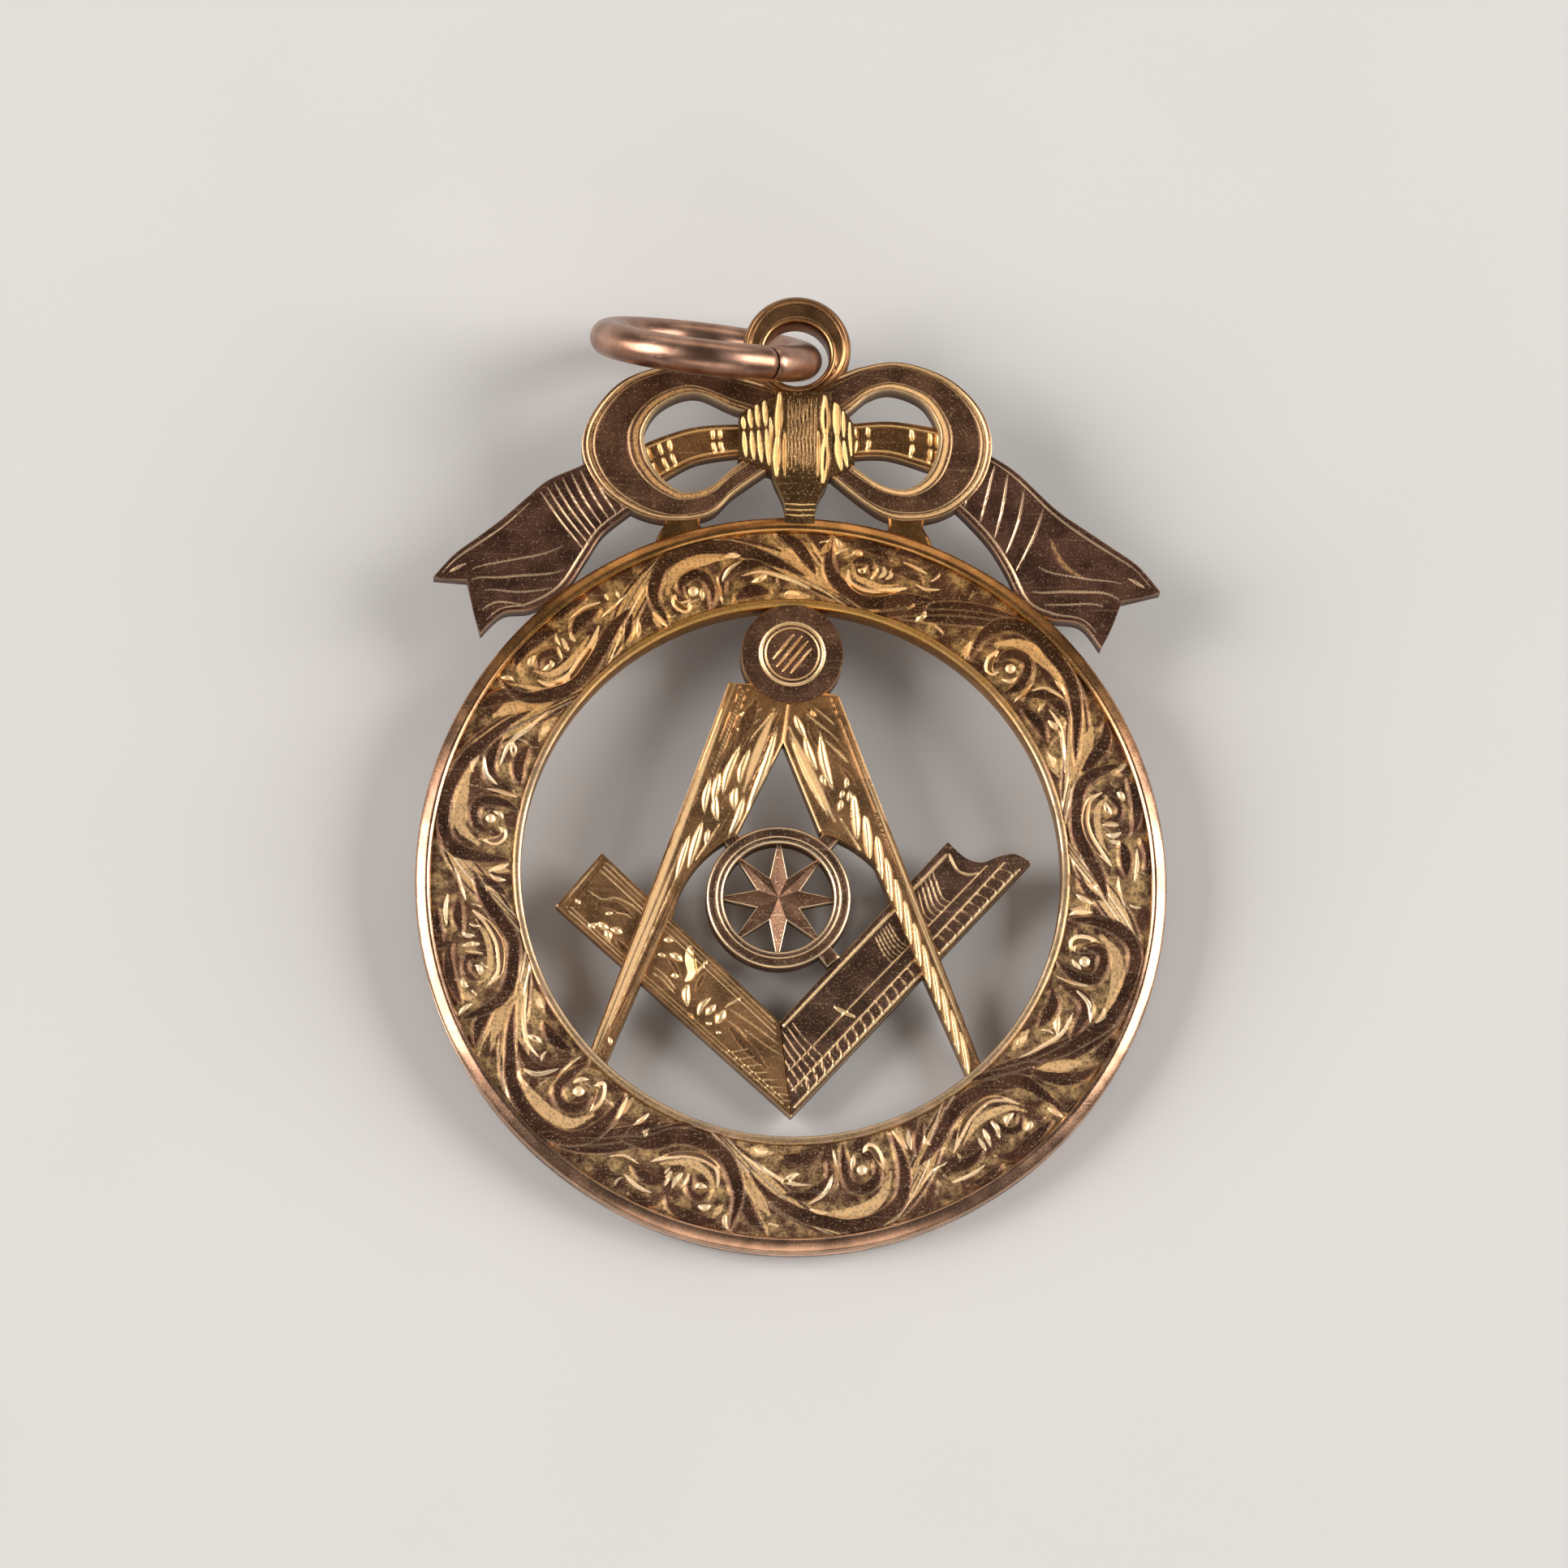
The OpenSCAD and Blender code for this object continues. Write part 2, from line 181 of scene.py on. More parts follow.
class Engraving:
    """Height and finish of an engraved face. Each stroke changes the points near its line.
    bright marks fresh cut gold and ground the sunk stippled gold between raised leaves."""

    # Least width of a cut's end, as a share of its width
    THIN = 1e-3

    def __init__(self, plan, ground=0.0):
        self.shape = plan.shape[:2]
        self.at = plan.reshape(-1, 2)
        self.rise = np.zeros(len(self.at))
        self.bright = np.zeros(len(self.at))
        self.ground = np.full(len(self.at), float(ground))

    def along(self, line, reach):
        """Points within reach of a polyline: their index, distance, share of its length and side of it."""
        line = np.asarray(line, float)
        near = np.flatnonzero(((self.at > line.min(0) - reach) & (self.at < line.max(0) + reach)).all(1))
        start = line[:-1]
        step = np.diff(line, axis=0)
        length = np.hypot(step[:, 0], step[:, 1]) + 1e-9
        before = np.cumsum(length) - length
        away = self.at[near][:, None, :] - start[None]
        share = np.clip((away * step).sum(-1) / length**2, 0, 1)
        gap = ((away - share[..., None] * step) ** 2).sum(-1)
        best = gap.argmin(1)
        row = np.arange(len(near))
        part = (before[best] + share[row, best] * length[best]) / length.sum()
        cross = step[best, 0] * away[row, best, 1] - step[best, 1] * away[row, best, 0]
        return near, np.sqrt(gap[row, best]), part, np.sign(cross)

    def band(self, line, width, height, ends, slope, shine):
        """Raised flat band of dark metal with sloping bright sides. Both ends are rounded off over the
        shares of its length that ends gives, or it narrows to a leaf's points where ends is None."""
        near, gap, part, _ = self.along(line, width / 2 + slope)
        if ends is None:
            full = swelling(part, 0.6)
        else:
            full = np.sqrt(np.clip(np.minimum(part / ends[0], (1 - part) / ends[1]), 0.02, 1))
        lift = np.clip((width / 2 * full - gap) / slope + 0.5, 0, 1)
        self.rise[near] = np.maximum(self.rise[near], height * lift)
        flat = ramp(lift, 0.55, 1.0)
        edge = 4 * lift * (1 - lift)
        self.ground[near] *= 1 - flat
        self.bright[near] = np.maximum(self.bright[near] * (1 - flat), shine * edge)

    def gouge(self, line, width, depth=None, hollow=2.0, shine=1.0, taper=0.6, steep=0.36):
        """Bright cut of a graver: its width and depth swell as sin^taper from end to end. Across it the
        depth is 1 - (gap / half width)^hollow, so hollow 1 is a V and 2 a round channel. Where no depth
        is given it is steep times the width."""
        depth = steep * width if depth is None else depth
        near, gap, part, _ = self.along(line, width / 2)
        swell = swelling(part, taper) + self.THIN
        across = np.clip(gap / (width / 2 * swell), 0, 1)
        self.rise[near] -= depth * swell * (1 - across**hollow)
        self.bright[near] = np.maximum(self.bright[near], shine * ramp(1 - across, 0.0, 0.5))

    def facet(self, line, width, depth=0.11, shine=1.0):
        """Bright crescent cut on the slant: it falls evenly from the line's right side to its left, and
        its width swells in the middle."""
        near, gap, part, side = self.along(line, width / 2)
        swell = swelling(part, 0.55) + self.THIN
        across = np.clip(gap / (width / 2 * swell), 0, 1)
        inside = ramp(1 - across, 0.0, 0.15)
        slant = 0.5 + 0.5 * side * across
        self.rise[near] -= depth * swell * slant * inside
        self.bright[near] = np.maximum(self.bright[near], shine * inside)

    def bead(self, at, radius):
        """Bright round bead: its height is a tenth of the root of 1 - (distance / radius)^2."""
        near = np.flatnonzero(((self.at - at) ** 2).sum(1) < radius**2)
        gap = ((self.at[near] - at) ** 2).sum(1) / radius**2
        self.rise[near] += 0.1 * np.sqrt(1 - gap)
        self.bright[near] = np.maximum(self.bright[near], ramp(1 - gap, 0.0, 0.3))

    def sink(self, line, width, depth=0.03, shine=0.0):
        """Satin patch: stippled ground at its own depth, soft at its border, as bright as shine. A
        negative depth raises it."""
        near, gap, part, _ = self.along(line, width / 2)
        half = width / 2 * np.clip(np.sin(np.pi * part), 0.25, 1) ** 0.5
        patch = ramp(half - gap, 0.0, 0.12)
        self.ground[near] = np.maximum(self.ground[near], patch)
        self.rise[near] = self.rise[near] * (1 - patch) - depth * patch
        self.bright[near] = np.maximum(self.bright[near] * (1 - patch), shine * patch)

    def pit(self, line, width, depth=0.05):
        """Dark flat-bottomed slot along a short line."""
        near, gap, _, _ = self.along(line, width / 2)
        inside = ramp(width / 2 - gap, 0.0, 0.05)
        self.rise[near] -= depth * inside
        self.bright[near] *= 1 - inside

    def free(self, at, radius, level):
        """Whether the ground within the radius is sunk by more than level all over, and nowhere bright."""
        near = ((self.at - at) ** 2).sum(1) < radius**2
        return bool(near.any() and (self.ground[near] > level).all() and (self.bright[near] < 0.2).all())

    def layers(self):
        """Height, brightness and ground on the plan's own grid."""
        return [layer.reshape(self.shape).copy() for layer in (self.rise, self.bright, self.ground)]


def shell(name, loops, material, bright=None, ground=None, closed=False, caps=None):
    """Closed skin over loops of points, shape (loops, points, 3) in plate millimetres. Neighbouring
    points are joined by quads, each loop runs back to its start, and the row of loops either closes
    into a ring or is capped at both ends. caps holds the outlines of a cap's faces as loop point numbers."""
    n, m = loops.shape[:2]
    index = np.arange(n * m).reshape(n, m)
    here = index if closed else index[:-1]
    there = np.roll(index, -1, axis=0) if closed else index[1:]
    quads = np.stack(
        [here, there, np.roll(there, -1, axis=1), np.roll(here, -1, axis=1)], -1
    ).reshape(-1, 4)
    faces = quads.tolist()
    if not closed:
        for loop in caps or [list(range(m))]:
            faces.append(index[0][loop].tolist())
            faces.append(index[-1][loop][::-1].tolist())
    at = laid(loops.reshape(-1, 3))
    # Six times the volume about the shell's own middle, negative where the faces point inwards
    corner = at[quads] - at.mean(0)
    halves = np.concatenate([corner[:, [0, 1, 2]], corner[:, [0, 2, 3]]])
    if (halves[:, 0] * np.cross(halves[:, 1], halves[:, 2])).sum() < 0:
        faces = [f[::-1] for f in faces]
    mesh = bpy.data.meshes.new(name)
    mesh.from_pydata(at.tolist(), [], faces)
    for key, values in (("bright", bright), ("ground", ground)):
        layer = mesh.attributes.new(key, "FLOAT", "POINT")
        full = np.zeros(n * m) if values is None else np.asarray(values, float).reshape(-1)
        layer.data.foreach_set("value", full.astype(np.float32))
    mesh.shade_smooth()
    mesh.set_sharp_from_angle(angle=SHARP)
    mesh.materials.append(material)
    piece = bpy.data.objects.new(name, mesh)
    bpy.context.scene.collection.objects.link(piece)
    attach(piece, "root")
    return piece


def weld(piece, sharp=SHARP):
    """Joins the points that meet at a pole."""
    work = bmesh.new()
    work.from_mesh(piece.data)
    bmesh.ops.remove_doubles(work, verts=work.verts, dist=1e-7)
    work.to_mesh(piece.data)
    work.free()
    piece.data.set_sharp_from_angle(angle=sharp)
    return piece


def plate_piece(piece, node="fob_plate"):
    """Hides the model's part that a piece stands in for, and returns the piece."""
    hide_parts(node)
    return piece


def backed_face(name, plan, face, bright, ground, material, base, under=(0, -1)):
    """Plan grid at the heights of its face, over a flat back at base. The back has only the grid's rows
    that under names, and the end caps are split at them."""
    n, m = plan.shape[:2]
    rows = [u % m for u in under]
    upper = np.dstack([plan, face])
    lower = np.dstack([plan[:, rows[::-1]], np.full((n, len(rows)), base)])
    plain = np.zeros((n, len(rows)))
    last = m + len(rows) - 1
    back_row = {row: last - i for i, row in enumerate(rows)}
    caps = [
        list(range(a, b + 1)) + list(range(back_row[b], back_row[a] + 1))
        for a, b in zip(rows[:-1], rows[1:])
    ]
    loops = np.concatenate([upper, lower], 1)
    piece = shell(
        name, loops, material, np.hstack([bright, plain]), np.hstack([ground, plain]), caps=caps
    )
    return plate_piece(piece)


def relief_plate(name, plan, cuts, top, material, under=(0, -1), base=0.0, bevel=0.05, rim_shine=0.5):
    """Flat piece with an engraved face. Its border lies lower by the bevel and is as bright as rim_shine."""
    rise, bright, ground = cuts.layers()
    face = top + rise
    border = np.ones(cuts.shape, bool)
    border[1:-1, 1:-1] = False
    face[border] = top - bevel
    bright[border] = rim_shine
    return backed_face(name, plan, face, bright, ground, material, base, under)


def spread(count, first):
    """Shares from 0 to 1 with a short first and last step for the bevel, and even steps between."""
    return np.concatenate([[0.0], np.linspace(first, 1 - first, count), [1.0]])


def around(profile, turns):
    """The columns of a turned piece's profile, each repeated for every angle round its middle."""
    return [np.tile(column, (turns, 1)) for column in np.asarray(profile, float).T]


class Layout:
    """Plan of a piece that two numbers find their way in: at(along, across) is the plate point there."""

    def line(self, *points, steps=8):
        """Smooth line through (along, across) points."""
        path = smooth(points, steps)
        return self.at(path[:, 0], path[:, 1])

    def grid(self, along, across):
        """Every point at these numbers along and these across."""
        return self.at(*np.meshgrid(along, across, indexing="ij"))


class Ribbon(Layout):
    """Ruled strip between two edge curves that have the same number of points, read by shares."""

    def __init__(self, first, second):
        self.first = np.asarray(first, float)
        self.second = np.asarray(second, float)

    def at(self, along, across):
        along, across = np.broadcast_arrays(np.asarray(along, float), np.asarray(across, float))
        a = point_on(self.first, along)
        b = point_on(self.second, along)
        return a + (b - a) * across[..., None]

    def lengthwise(self, across, steps):
        """Line from end to end at one share across."""
        return self.line((0, across), (.5, across), (1, across), steps=steps)


class Number:
    """A shader number. Arithmetic on it adds Math nodes."""

    def __init__(self, recipe, socket):
        self.recipe = recipe
        self.socket = socket

    def maths(self, operation, first, second):
        return self.recipe.node("ShaderNodeMath", {"operation": operation}, {0: first, 1: second})

    def __add__(self, other):
        return self.maths("ADD", self, other)

    def __sub__(self, other):
        return self.maths("SUBTRACT", self, other)

    def __mul__(self, other):
        return self.maths("MULTIPLY", self, other)

    def __radd__(self, other):
        return self.maths("ADD", other, self)

    def __rsub__(self, other):
        return self.maths("SUBTRACT", other, self)

    def __rmul__(self, other):
        return self.maths("MULTIPLY", other, self)

    def between(self, low, high):
        """0 below low, 1 above high, smooth between."""
        return self.recipe.node(
            "ShaderNodeMapRange",
            {"interpolation_type": "SMOOTHSTEP"},
            {"Value": self, "From Min": low, "From Max": high},
        )


class Recipe:
    """A material under construction: node() makes any node from its type, settings and inputs."""

    def __init__(self, name):
        self.material = bpy.data.materials.new(name)
        self.material.use_nodes = True
        self.tree = self.material.node_tree
        self.tree.nodes.clear()

    def node(self, kind, settings=None, inputs=None, output=0):
        """Adds a node. Its settings are set first, then the values or links of its sockets."""
        made = self.tree.nodes.new(kind)
        for key, value in (settings or {}).items():
            setattr(made, key, value)
        for key, value in (inputs or {}).items():
            if isinstance(value, Number):
                self.tree.links.new(value.socket, made.inputs[key])
            else:
                made.inputs[key].default_value = value
        return Number(self, made.outputs[output]) if made.outputs else None

    def millimetres(self):
        """Object coordinates in millimetres."""
        place = self.node("ShaderNodeTexCoord", output="Object")
        return self.node("ShaderNodeVectorMath", {"operation": "SCALE"}, {0: place, "Scale": 1 / MM})

    def stretched(self, place, scale, turn=0.0):
        """Coordinates turned about Z, in radians, and scaled, for a pattern that runs along a line."""
        return self.node(
            "ShaderNodeMapping", None, {"Vector": place, "Rotation": (0, 0, turn), "Scale": scale}
        )

    def attribute(self, name):
        return self.node("ShaderNodeAttribute", {"attribute_name": name}, output="Fac")

    def blend(self, share, first, second):
        """Colour between first and second by share."""
        return self.node("ShaderNodeMix", {"data_type": "RGBA"}, {0: share, 6: first, 7: second}, output=2)

    def noise(self, place, scale, detail):
        return self.node(
            "ShaderNodeTexNoise", None,
            {"Vector": place, "Scale": scale, "Detail": detail, "Roughness": 0.55},
        )

    def finish(self, inputs):
        """Ends the material in one shader with these inputs."""
        surface = self.node("ShaderNodeBsdfPrincipled", None, inputs)
        self.node("ShaderNodeOutputMaterial", None, {"Surface": surface})
        return self.material

    def metal(self, base, rough, height, strength, distance):
        """Ends the material as bare metal with a bump of this height."""
        bump = self.node(
            "ShaderNodeBump", None, {"Strength": strength, "Distance": distance, "Height": height}
        )
        return self.finish({"Base Color": base, "Metallic": 1.0, "Roughness": rough, "Normal": bump})


def colour(red, green, blue):
    return (red, green, blue, 1.0)


def shade(paint, share):
    """A colour darkened to a share of itself."""
    return colour(*(share * c for c in paint[:3]))


def old_gold(name, flat, cut, sunk, flat_rough=0.46, cut_rough=0.40, grain=1.0, ochre=0.5, speckle=0.7):
    """Worn engraved gold: a dark colour on the flats that is partly tarnish and partly painted shade for the
    dark room that polished flats mirror, fresh gold in the cuts and stippled gold in the sunk ground, with
    blotches, speckles, fine scratches and small pits. Its tarnish turns from rose at the ring's foot to
    ochre under the bow. Noise scales are in waves for each millimetre."""
    r = Recipe(name)
    mm = r.millimetres()
    blotch = r.noise(mm, 0.9, 4.0)
    speck = r.noise(mm, 14.0, 2.0)
    patch = r.noise(mm, 1.7, 3.0)
    hair = r.noise(r.stretched(mm, (0.5, 9.0, 1.0), 0.6), 1.0, 2.0).between(0.62, 0.72)
    hair_two = r.noise(r.stretched(mm, (0.3, 8.0, 1.0), -0.9), 1.0, 2.0).between(0.63, 0.73)
    stipple = r.node("ShaderNodeTexVoronoi", {"feature": "F1"}, {"Vector": mm, "Scale": 8.0})
    bright = r.attribute("bright")
    ground = r.attribute("ground")

    # The flats, from dark to light, with hairs of fresh gold. Their dark colour is partly tarnish and partly
    # painted shade.
    light_flat = colour(*((c + d) / 2 for c, d in zip(flat[:3], cut[:3])))
    base = r.blend(blotch.between(0.35, 0.65), shade(flat, 0.55), flat)
    base = r.blend(speck.between(0.56, 0.74) * speckle, base, light_flat)
    base = r.blend((hair + hair_two) * 0.10, base, cut)

    # The sunk ground and the fresh cuts over them
    floor_gold = r.blend(stipple.between(0.15, 0.6), shade(sunk, 0.45), sunk)
    sunk_share = (ground + 1.6 * (patch - 0.5)).between(0.25, 0.75)
    base = r.blend(sunk_share * ground.between(0.0, 0.2), base, floor_gold)
    fresh = bright * (0.75 + 0.4 * speck)
    base = r.blend(fresh.between(0.1, 0.8), base, cut)

    # Ochre towards the bow
    level = r.node("ShaderNodeSeparateXYZ", None, {"Vector": mm}, output=1)
    far = (level + 3.0 * (blotch - 0.5)).between(-2.0, 5.5)
    base = r.node(
        "ShaderNodeMix", {"data_type": "RGBA", "blend_type": "MULTIPLY"},
        {0: ochre * far, 6: base, 7: colour(1.0, 0.78, 0.36)}, output=2,
    )
    rough = flat_rough + 0.22 * (speck - 0.5) + 0.12 * (blotch - 0.5)
    rough = rough + (cut_rough - flat_rough) * bright + 0.32 * ground
    height = speck * 0.35 + hair * -0.25 + hair_two * -0.25 + ground * stipple * 1.4
    return r.metal(base, rough, height, strength=0.35 * grain, distance=0.03 * MM)


def wire_gold(name):
    """Polished rose gold wire, coloured darker than the metal as painted shade for the dark surroundings it
    mirrors: faint blotches, fine scratches round the wire and a few dull rubbed spots.
    """
    r = Recipe(name)
    mm = r.millimetres()
    blotch = r.noise(mm, 0.7, 3.0)
    speck = r.noise(mm, 9.0, 3.0)
    hair = r.noise(r.stretched(mm, (0.5, 7.0, 5.0)), 1.3, 2.0).between(0.6, 0.7)
    # The rose gold is painted dark: painted shade standing in for the dark room that the wire reflects
    base = r.blend(blotch.between(0.35, 0.7), colour(0.28, 0.15, 0.10), colour(0.50, 0.30, 0.215))
    base = r.blend(speck.between(0.6, 0.75) * 0.5, base, colour(0.25, 0.12, 0.08))
    rough = 0.33 + 0.14 * (blotch - 0.5) + 0.12 * hair
    return r.metal(base, rough, speck * 0.5 + hair * -0.5, strength=0.2, distance=0.02 * MM)


# Fresh gold in the cuts, then the finishes, each with its flats, its cuts and its sunk ground
BRIGHT_CUT = colour(0.96, 0.73, 0.47)
GOLDEN_CUT = colour(0.92, 0.66, 0.36)
SOFT_CUT = colour(0.94, 0.70, 0.42)
PALE_CUT = colour(1.0, 0.80, 0.47)
TAIL_CUT = colour(0.74, 0.53, 0.36)
# ring_gold's flats are near black: partly tarnish and partly painted shade for the dark room they mirror
ring_gold = old_gold("ring_gold", colour(0.125, 0.058, 0.036), BRIGHT_CUT, colour(0.58, 0.385, 0.18))
lip_gold = old_gold(
    "lip_gold", colour(0.56, 0.32, 0.205), BRIGHT_CUT, colour(0.40, 0.24, 0.10),
    flat_rough=0.27, cut_rough=0.24, grain=0.25, ochre=0.95, speckle=0.2,
)
# leg_gold's sunk colour is near black: it paints the shadows of the dark patches between the cuts and of the
# lines beside the right leg's bars
leg_gold = old_gold(
    "leg_gold", colour(0.36, 0.19, 0.085), GOLDEN_CUT, colour(0.15, 0.08, 0.04), flat_rough=0.44
)
dark_gold = old_gold(
    "dark_gold", colour(0.15, 0.08, 0.055), GOLDEN_CUT, colour(0.35, 0.19, 0.09), ochre=0.2
)
brown_gold = old_gold("brown_gold", colour(0.17, 0.09, 0.056), BRIGHT_CUT, colour(0.35, 0.19, 0.09))
rose_flat = old_gold(
    "rose_flat", colour(0.19, 0.098, 0.066), SOFT_CUT, colour(0.50, 0.30, 0.14), ochre=0.3
)
tail_rose = old_gold(
    "tail_rose", colour(0.145, 0.072, 0.052), TAIL_CUT, colour(0.40, 0.24, 0.12), ochre=0.2
)
knot_gold = old_gold(
    "knot_gold", colour(0.17, 0.095, 0.048), PALE_CUT, colour(0.50, 0.30, 0.14), ochre=0.4
)
eye_gold = old_gold(
    "eye_gold", colour(0.36, 0.20, 0.115), GOLDEN_CUT, colour(0.40, 0.24, 0.10),
    flat_rough=0.34, cut_rough=0.28, grain=0.25, speckle=0.3,
)
ribbon_gold = old_gold("ribbon_gold", colour(0.24, 0.125, 0.065), GOLDEN_CUT, colour(0.35, 0.19, 0.09))
rose_wire = wire_gold("rose_wire")


# One curl of the scrollwork that opens inwards, with the leaves beside it. Columns: kind, width in mm,
# then points as (degrees from the curl's middle, share of the band)
ARCH = [
    ("gold", 0.60, (9, .74), (5, .78), (0, .76), (-3.4, .66), (-5.6, .46)),
    ("gold", 0.50, (16.2, .09), (18.5, .07), (21.5, .08)),
    ("gold", 0.55, (16, .78), (18.5, .62), (21.5, .40)),
    ("gold", 0.40, (24, .72), (25.4, .90)),
    ("gold", 0.40, (-10, .04), (-9.6, .3)),
    ("leaf", 0.66, (16, .98), (19, .84), (21.4, .62), (23, .36)),
    (
        "wall", 0.60, (21, .34), (17, .50), (12.5, .69), (7.5, .85), (2, .92), (-3, .89), (-6.6, .73),
        (-8.4, .42), (-8.2, .04),
    ),
    ("wall", 0.44, (1.6, .02), (2.7, .26), (2.0, .48), (-.4, .57), (-2.8, .48), (-3.3, .30)),
    ("gold", 0.30, (-4.7, .5), (-5.0, .3), (-3.6, .14), (-1.2, .14)),
    ("crescent", 0.36, (-4.9, .40), (-4.9, .26), (-4.0, .15), (-2.9, .13), (-1.9, .19)),
    ("bead", 0.20, (-.6, .34)),
    ("leaf", 0.62, (5.2, .16), (5.5, .38), (7.8, .53), (11, .56), (14, .52)),
    ("leaf", 0.60, (6.6, .08), (10, .17), (14.6, .14)),
    ("edge", 0.20, (5.0, .34), (6.4, .54), (9.6, .64)),
    ("edge", 0.22, (9, .42), (13, .42), (17.5, .30), (22, .17)),
    ("drop", 0.30, (10.8, .30), (12.4, .33), (14, .40)),
    ("drop", 0.26, (-8.8, .02), (-9.4, .14), (-10.2, .30)),
    ("drop", 0.22, (-.2, .17), (.6, .22), (1.0, .34)),
    ("drop", 0.24, (6.0, .72), (7.6, .74), (9.2, .70)),
    ("drop", 0.24, (17, .08), (18.4, .10), (20, .07)),
    ("edge", 0.16, (3.9, .48), (4.1, .3), (4.3, .06)),
]
# The same for a curl that opens outwards
CUP = [
    ("gold", 0.40, (-6.0, .66), (-4.8, .48), (-2, .40), (1.5, .40), (5, .50)),
    (
        "wall", 0.60, (-10.2, .98), (-10.4, .6), (-8.6, .34), (-5, .19), (0, .13), (4.4, .20), (9, .36),
        (14, .48),
    ),
    ("crescent", 0.36, (7.2, .52), (4, .38), (1, .29), (-2.5, .28), (-5.4, .37), (-6.4, .55)),
    ("leaf", 0.62, (-8, .92), (-4, .95), (-.4, .91), (2, .80)),
    ("wall", 0.34, (-5.6, .62), (-3.6, .72), (-1.6, .66), (-1.4, .50)),
    ("drop", 0.30, (-4.6, .57), (-3.4, .57), (-2.4, .61)),
    ("edge", 0.30, (-6, .76), (-5, .79), (-3.9, .80)),
    ("edge", 0.20, (-.7, .48), (-.5, .58), (-.3, .68)),
    ("edge", 0.24, (.8, .50), (1.2, .60), (1.4, .71)),
    ("edge", 0.22, (2.3, .54), (2.7, .62), (3.0, .70)),
    ("leaf", 0.56, (2.8, .66), (5.6, .72), (9.5, .68)),
    ("leaf", 0.46, (2.2, .92), (5, .98), (8, .93)),
    ("edge", 0.20, (4.4, .84), (7, .85), (10, .80)),
    ("drop", 0.30, (10.2, .34), (10.7, .26), (10.6, .14)),
    ("drop", 0.24, (-8.8, .80), (-9.2, .90), (-9.8, .99)),
    ("leaf", 0.44, (9, .10), (11.6, .24), (13.6, .42)),
    ("drop", 0.26, (13.6, .30), (13.0, .20), (12.2, .08)),
    ("edge", 0.16, (8.6, .60), (11.5, .62), (14.5, .70)),
]
# Where the curls stand. Columns: angle, stretch along the band, 1 where the curl opens inwards and -1
# where it opens outwards, and how bright its crescents are. That brightness is partly the bright cut and
# partly a painted highlight: the curls at the sides, where the soft boxes light them, are painted brightest
# and those at the foot dimmest.
CURLS = [
    (14.4, 0.80, -1, .80),
    (45.0, 1.00, 1, 1.0),
    (79.0, 1.00, -1, 1.0),
    (104.8, 1.02, 1, .80),
    (140.8, 1.08, -1, .65),
    (166.6, 1.02, 1, .80),
    (198.9, 0.95, -1, .75),
    (224.6, 0.98, 1, .85),
    (256.5, 1.02, -1, 1.0),
    (281.8, 1.04, 1, .90),
    (315.0, 1.05, -1, .75),
    (341.8, 0.95, 1, .90),
]
CURL_SEED = 40


def stem_line():
    """The stem that waves over the curls that open inwards and under the others, from one turn before the
    top to one after it: points of angle and share."""
    keys = []
    for turn in (-360, 0, 360):
        for angle, stretch, way, _ in CURLS:
            if way > 0:
                keys += [(angle + turn - 3, .97), (angle + turn + 5 * stretch, 1.0)]
            else:
                keys += [(angle + turn - 6 * stretch, .06), (angle + turn + 4, .03)]
    return smooth(keys, 12)


def engrave_curl(cuts, number, turn):
    """One curl from its chart, each chart point moved by up to 0.4 degrees and 0.02 of the band, the same
    way in each part of the field. A chart point (u, v) lies at angle + stretch u and share v."""
    angle, stretch, way, shine_and_painted_highlight = CURLS[number]
    random = np.random.default_rng(CURL_SEED + number)

    def place(u, v):
        return on_band(angle + turn + stretch * u, v)

    for kind, width, *points in (ARCH if way > 0 else CUP):
        moved = np.array(points) + random.uniform(-1, 1, (len(points), 2)) * [0.4, 0.02]
        width *= random.uniform(0.92, 1.08)
        if kind == "crescent":
            path = smooth(moved)
            line = place(path[:, 0], path[:, 1])
            # The crescent's satin and facet take the curl's shine, which holds its painted highlight
            cuts.sink(line, width, depth=0.04, shine=0.55 * shine_and_painted_highlight)
            cuts.facet(line, 0.9 * width, depth=0.10, shine=shine_and_painted_highlight)
        else:
            engrave_stroke(cuts, kind, width, moved, place, 8)


# How light the stem and the leaves round it are. Columns: angle, share of fresh gold. Below LIGHT_TONE
# they are left dark.
STEM_TONE = np.array([
    (0, .34), (30, .12), (50, .46), (75, .50), (98, .46), (108, .14), (130, .10), (150, .20), (180, .36),
    (192, .22), (206, .10), (225, .12), (236, .46), (262, .42), (280, .14), (300, .24), (330, .24),
    (360, .34),
])
LIGHT_TONE = 0.18


def engrave_sheath(cuts, start_at, end_at):
    """The stem between two curls and the long leaf that wraps it, with a light strip on each side of the
    stem. The strip at the offset d runs d sin(pi s) beside the stem at the share s of the leaf."""
    stem = stem_line()
    tone = np.interp(0.5 * (start_at + end_at) % 360, STEM_TONE[:, 0], STEM_TONE[:, 1])
    angle = np.linspace(start_at - 1, end_at + 1, 60)
    line = on_band(angle, np.interp(angle, stem[:, 0], stem[:, 1]))
    spine = line[10:-8]
    cuts.band(spine, 0.90, height=0.10, ends=None, slope=0.14, shine=0.3)
    step = np.gradient(spine, axis=0)
    beside = leftward(step) / np.hypot(*step.T)[:, None]
    swell = np.sin(np.pi * np.linspace(0, 1, len(spine)))[:, None]
    if tone > LIGHT_TONE:
        for offset in (-0.25, 0.25):
            strip = (spine + offset * swell * beside)[5:-5]
            cuts.sink(strip, 0.28, depth=-0.06, shine=0.9 * tone)
    cuts.band(line, 0.24, height=0.15, ends=(0.01, 0.01), slope=0.13, shine=0.2 + tone)
    if tone > LIGHT_TONE:
        cuts.sink(line, 0.24, depth=-0.13, shine=tone)


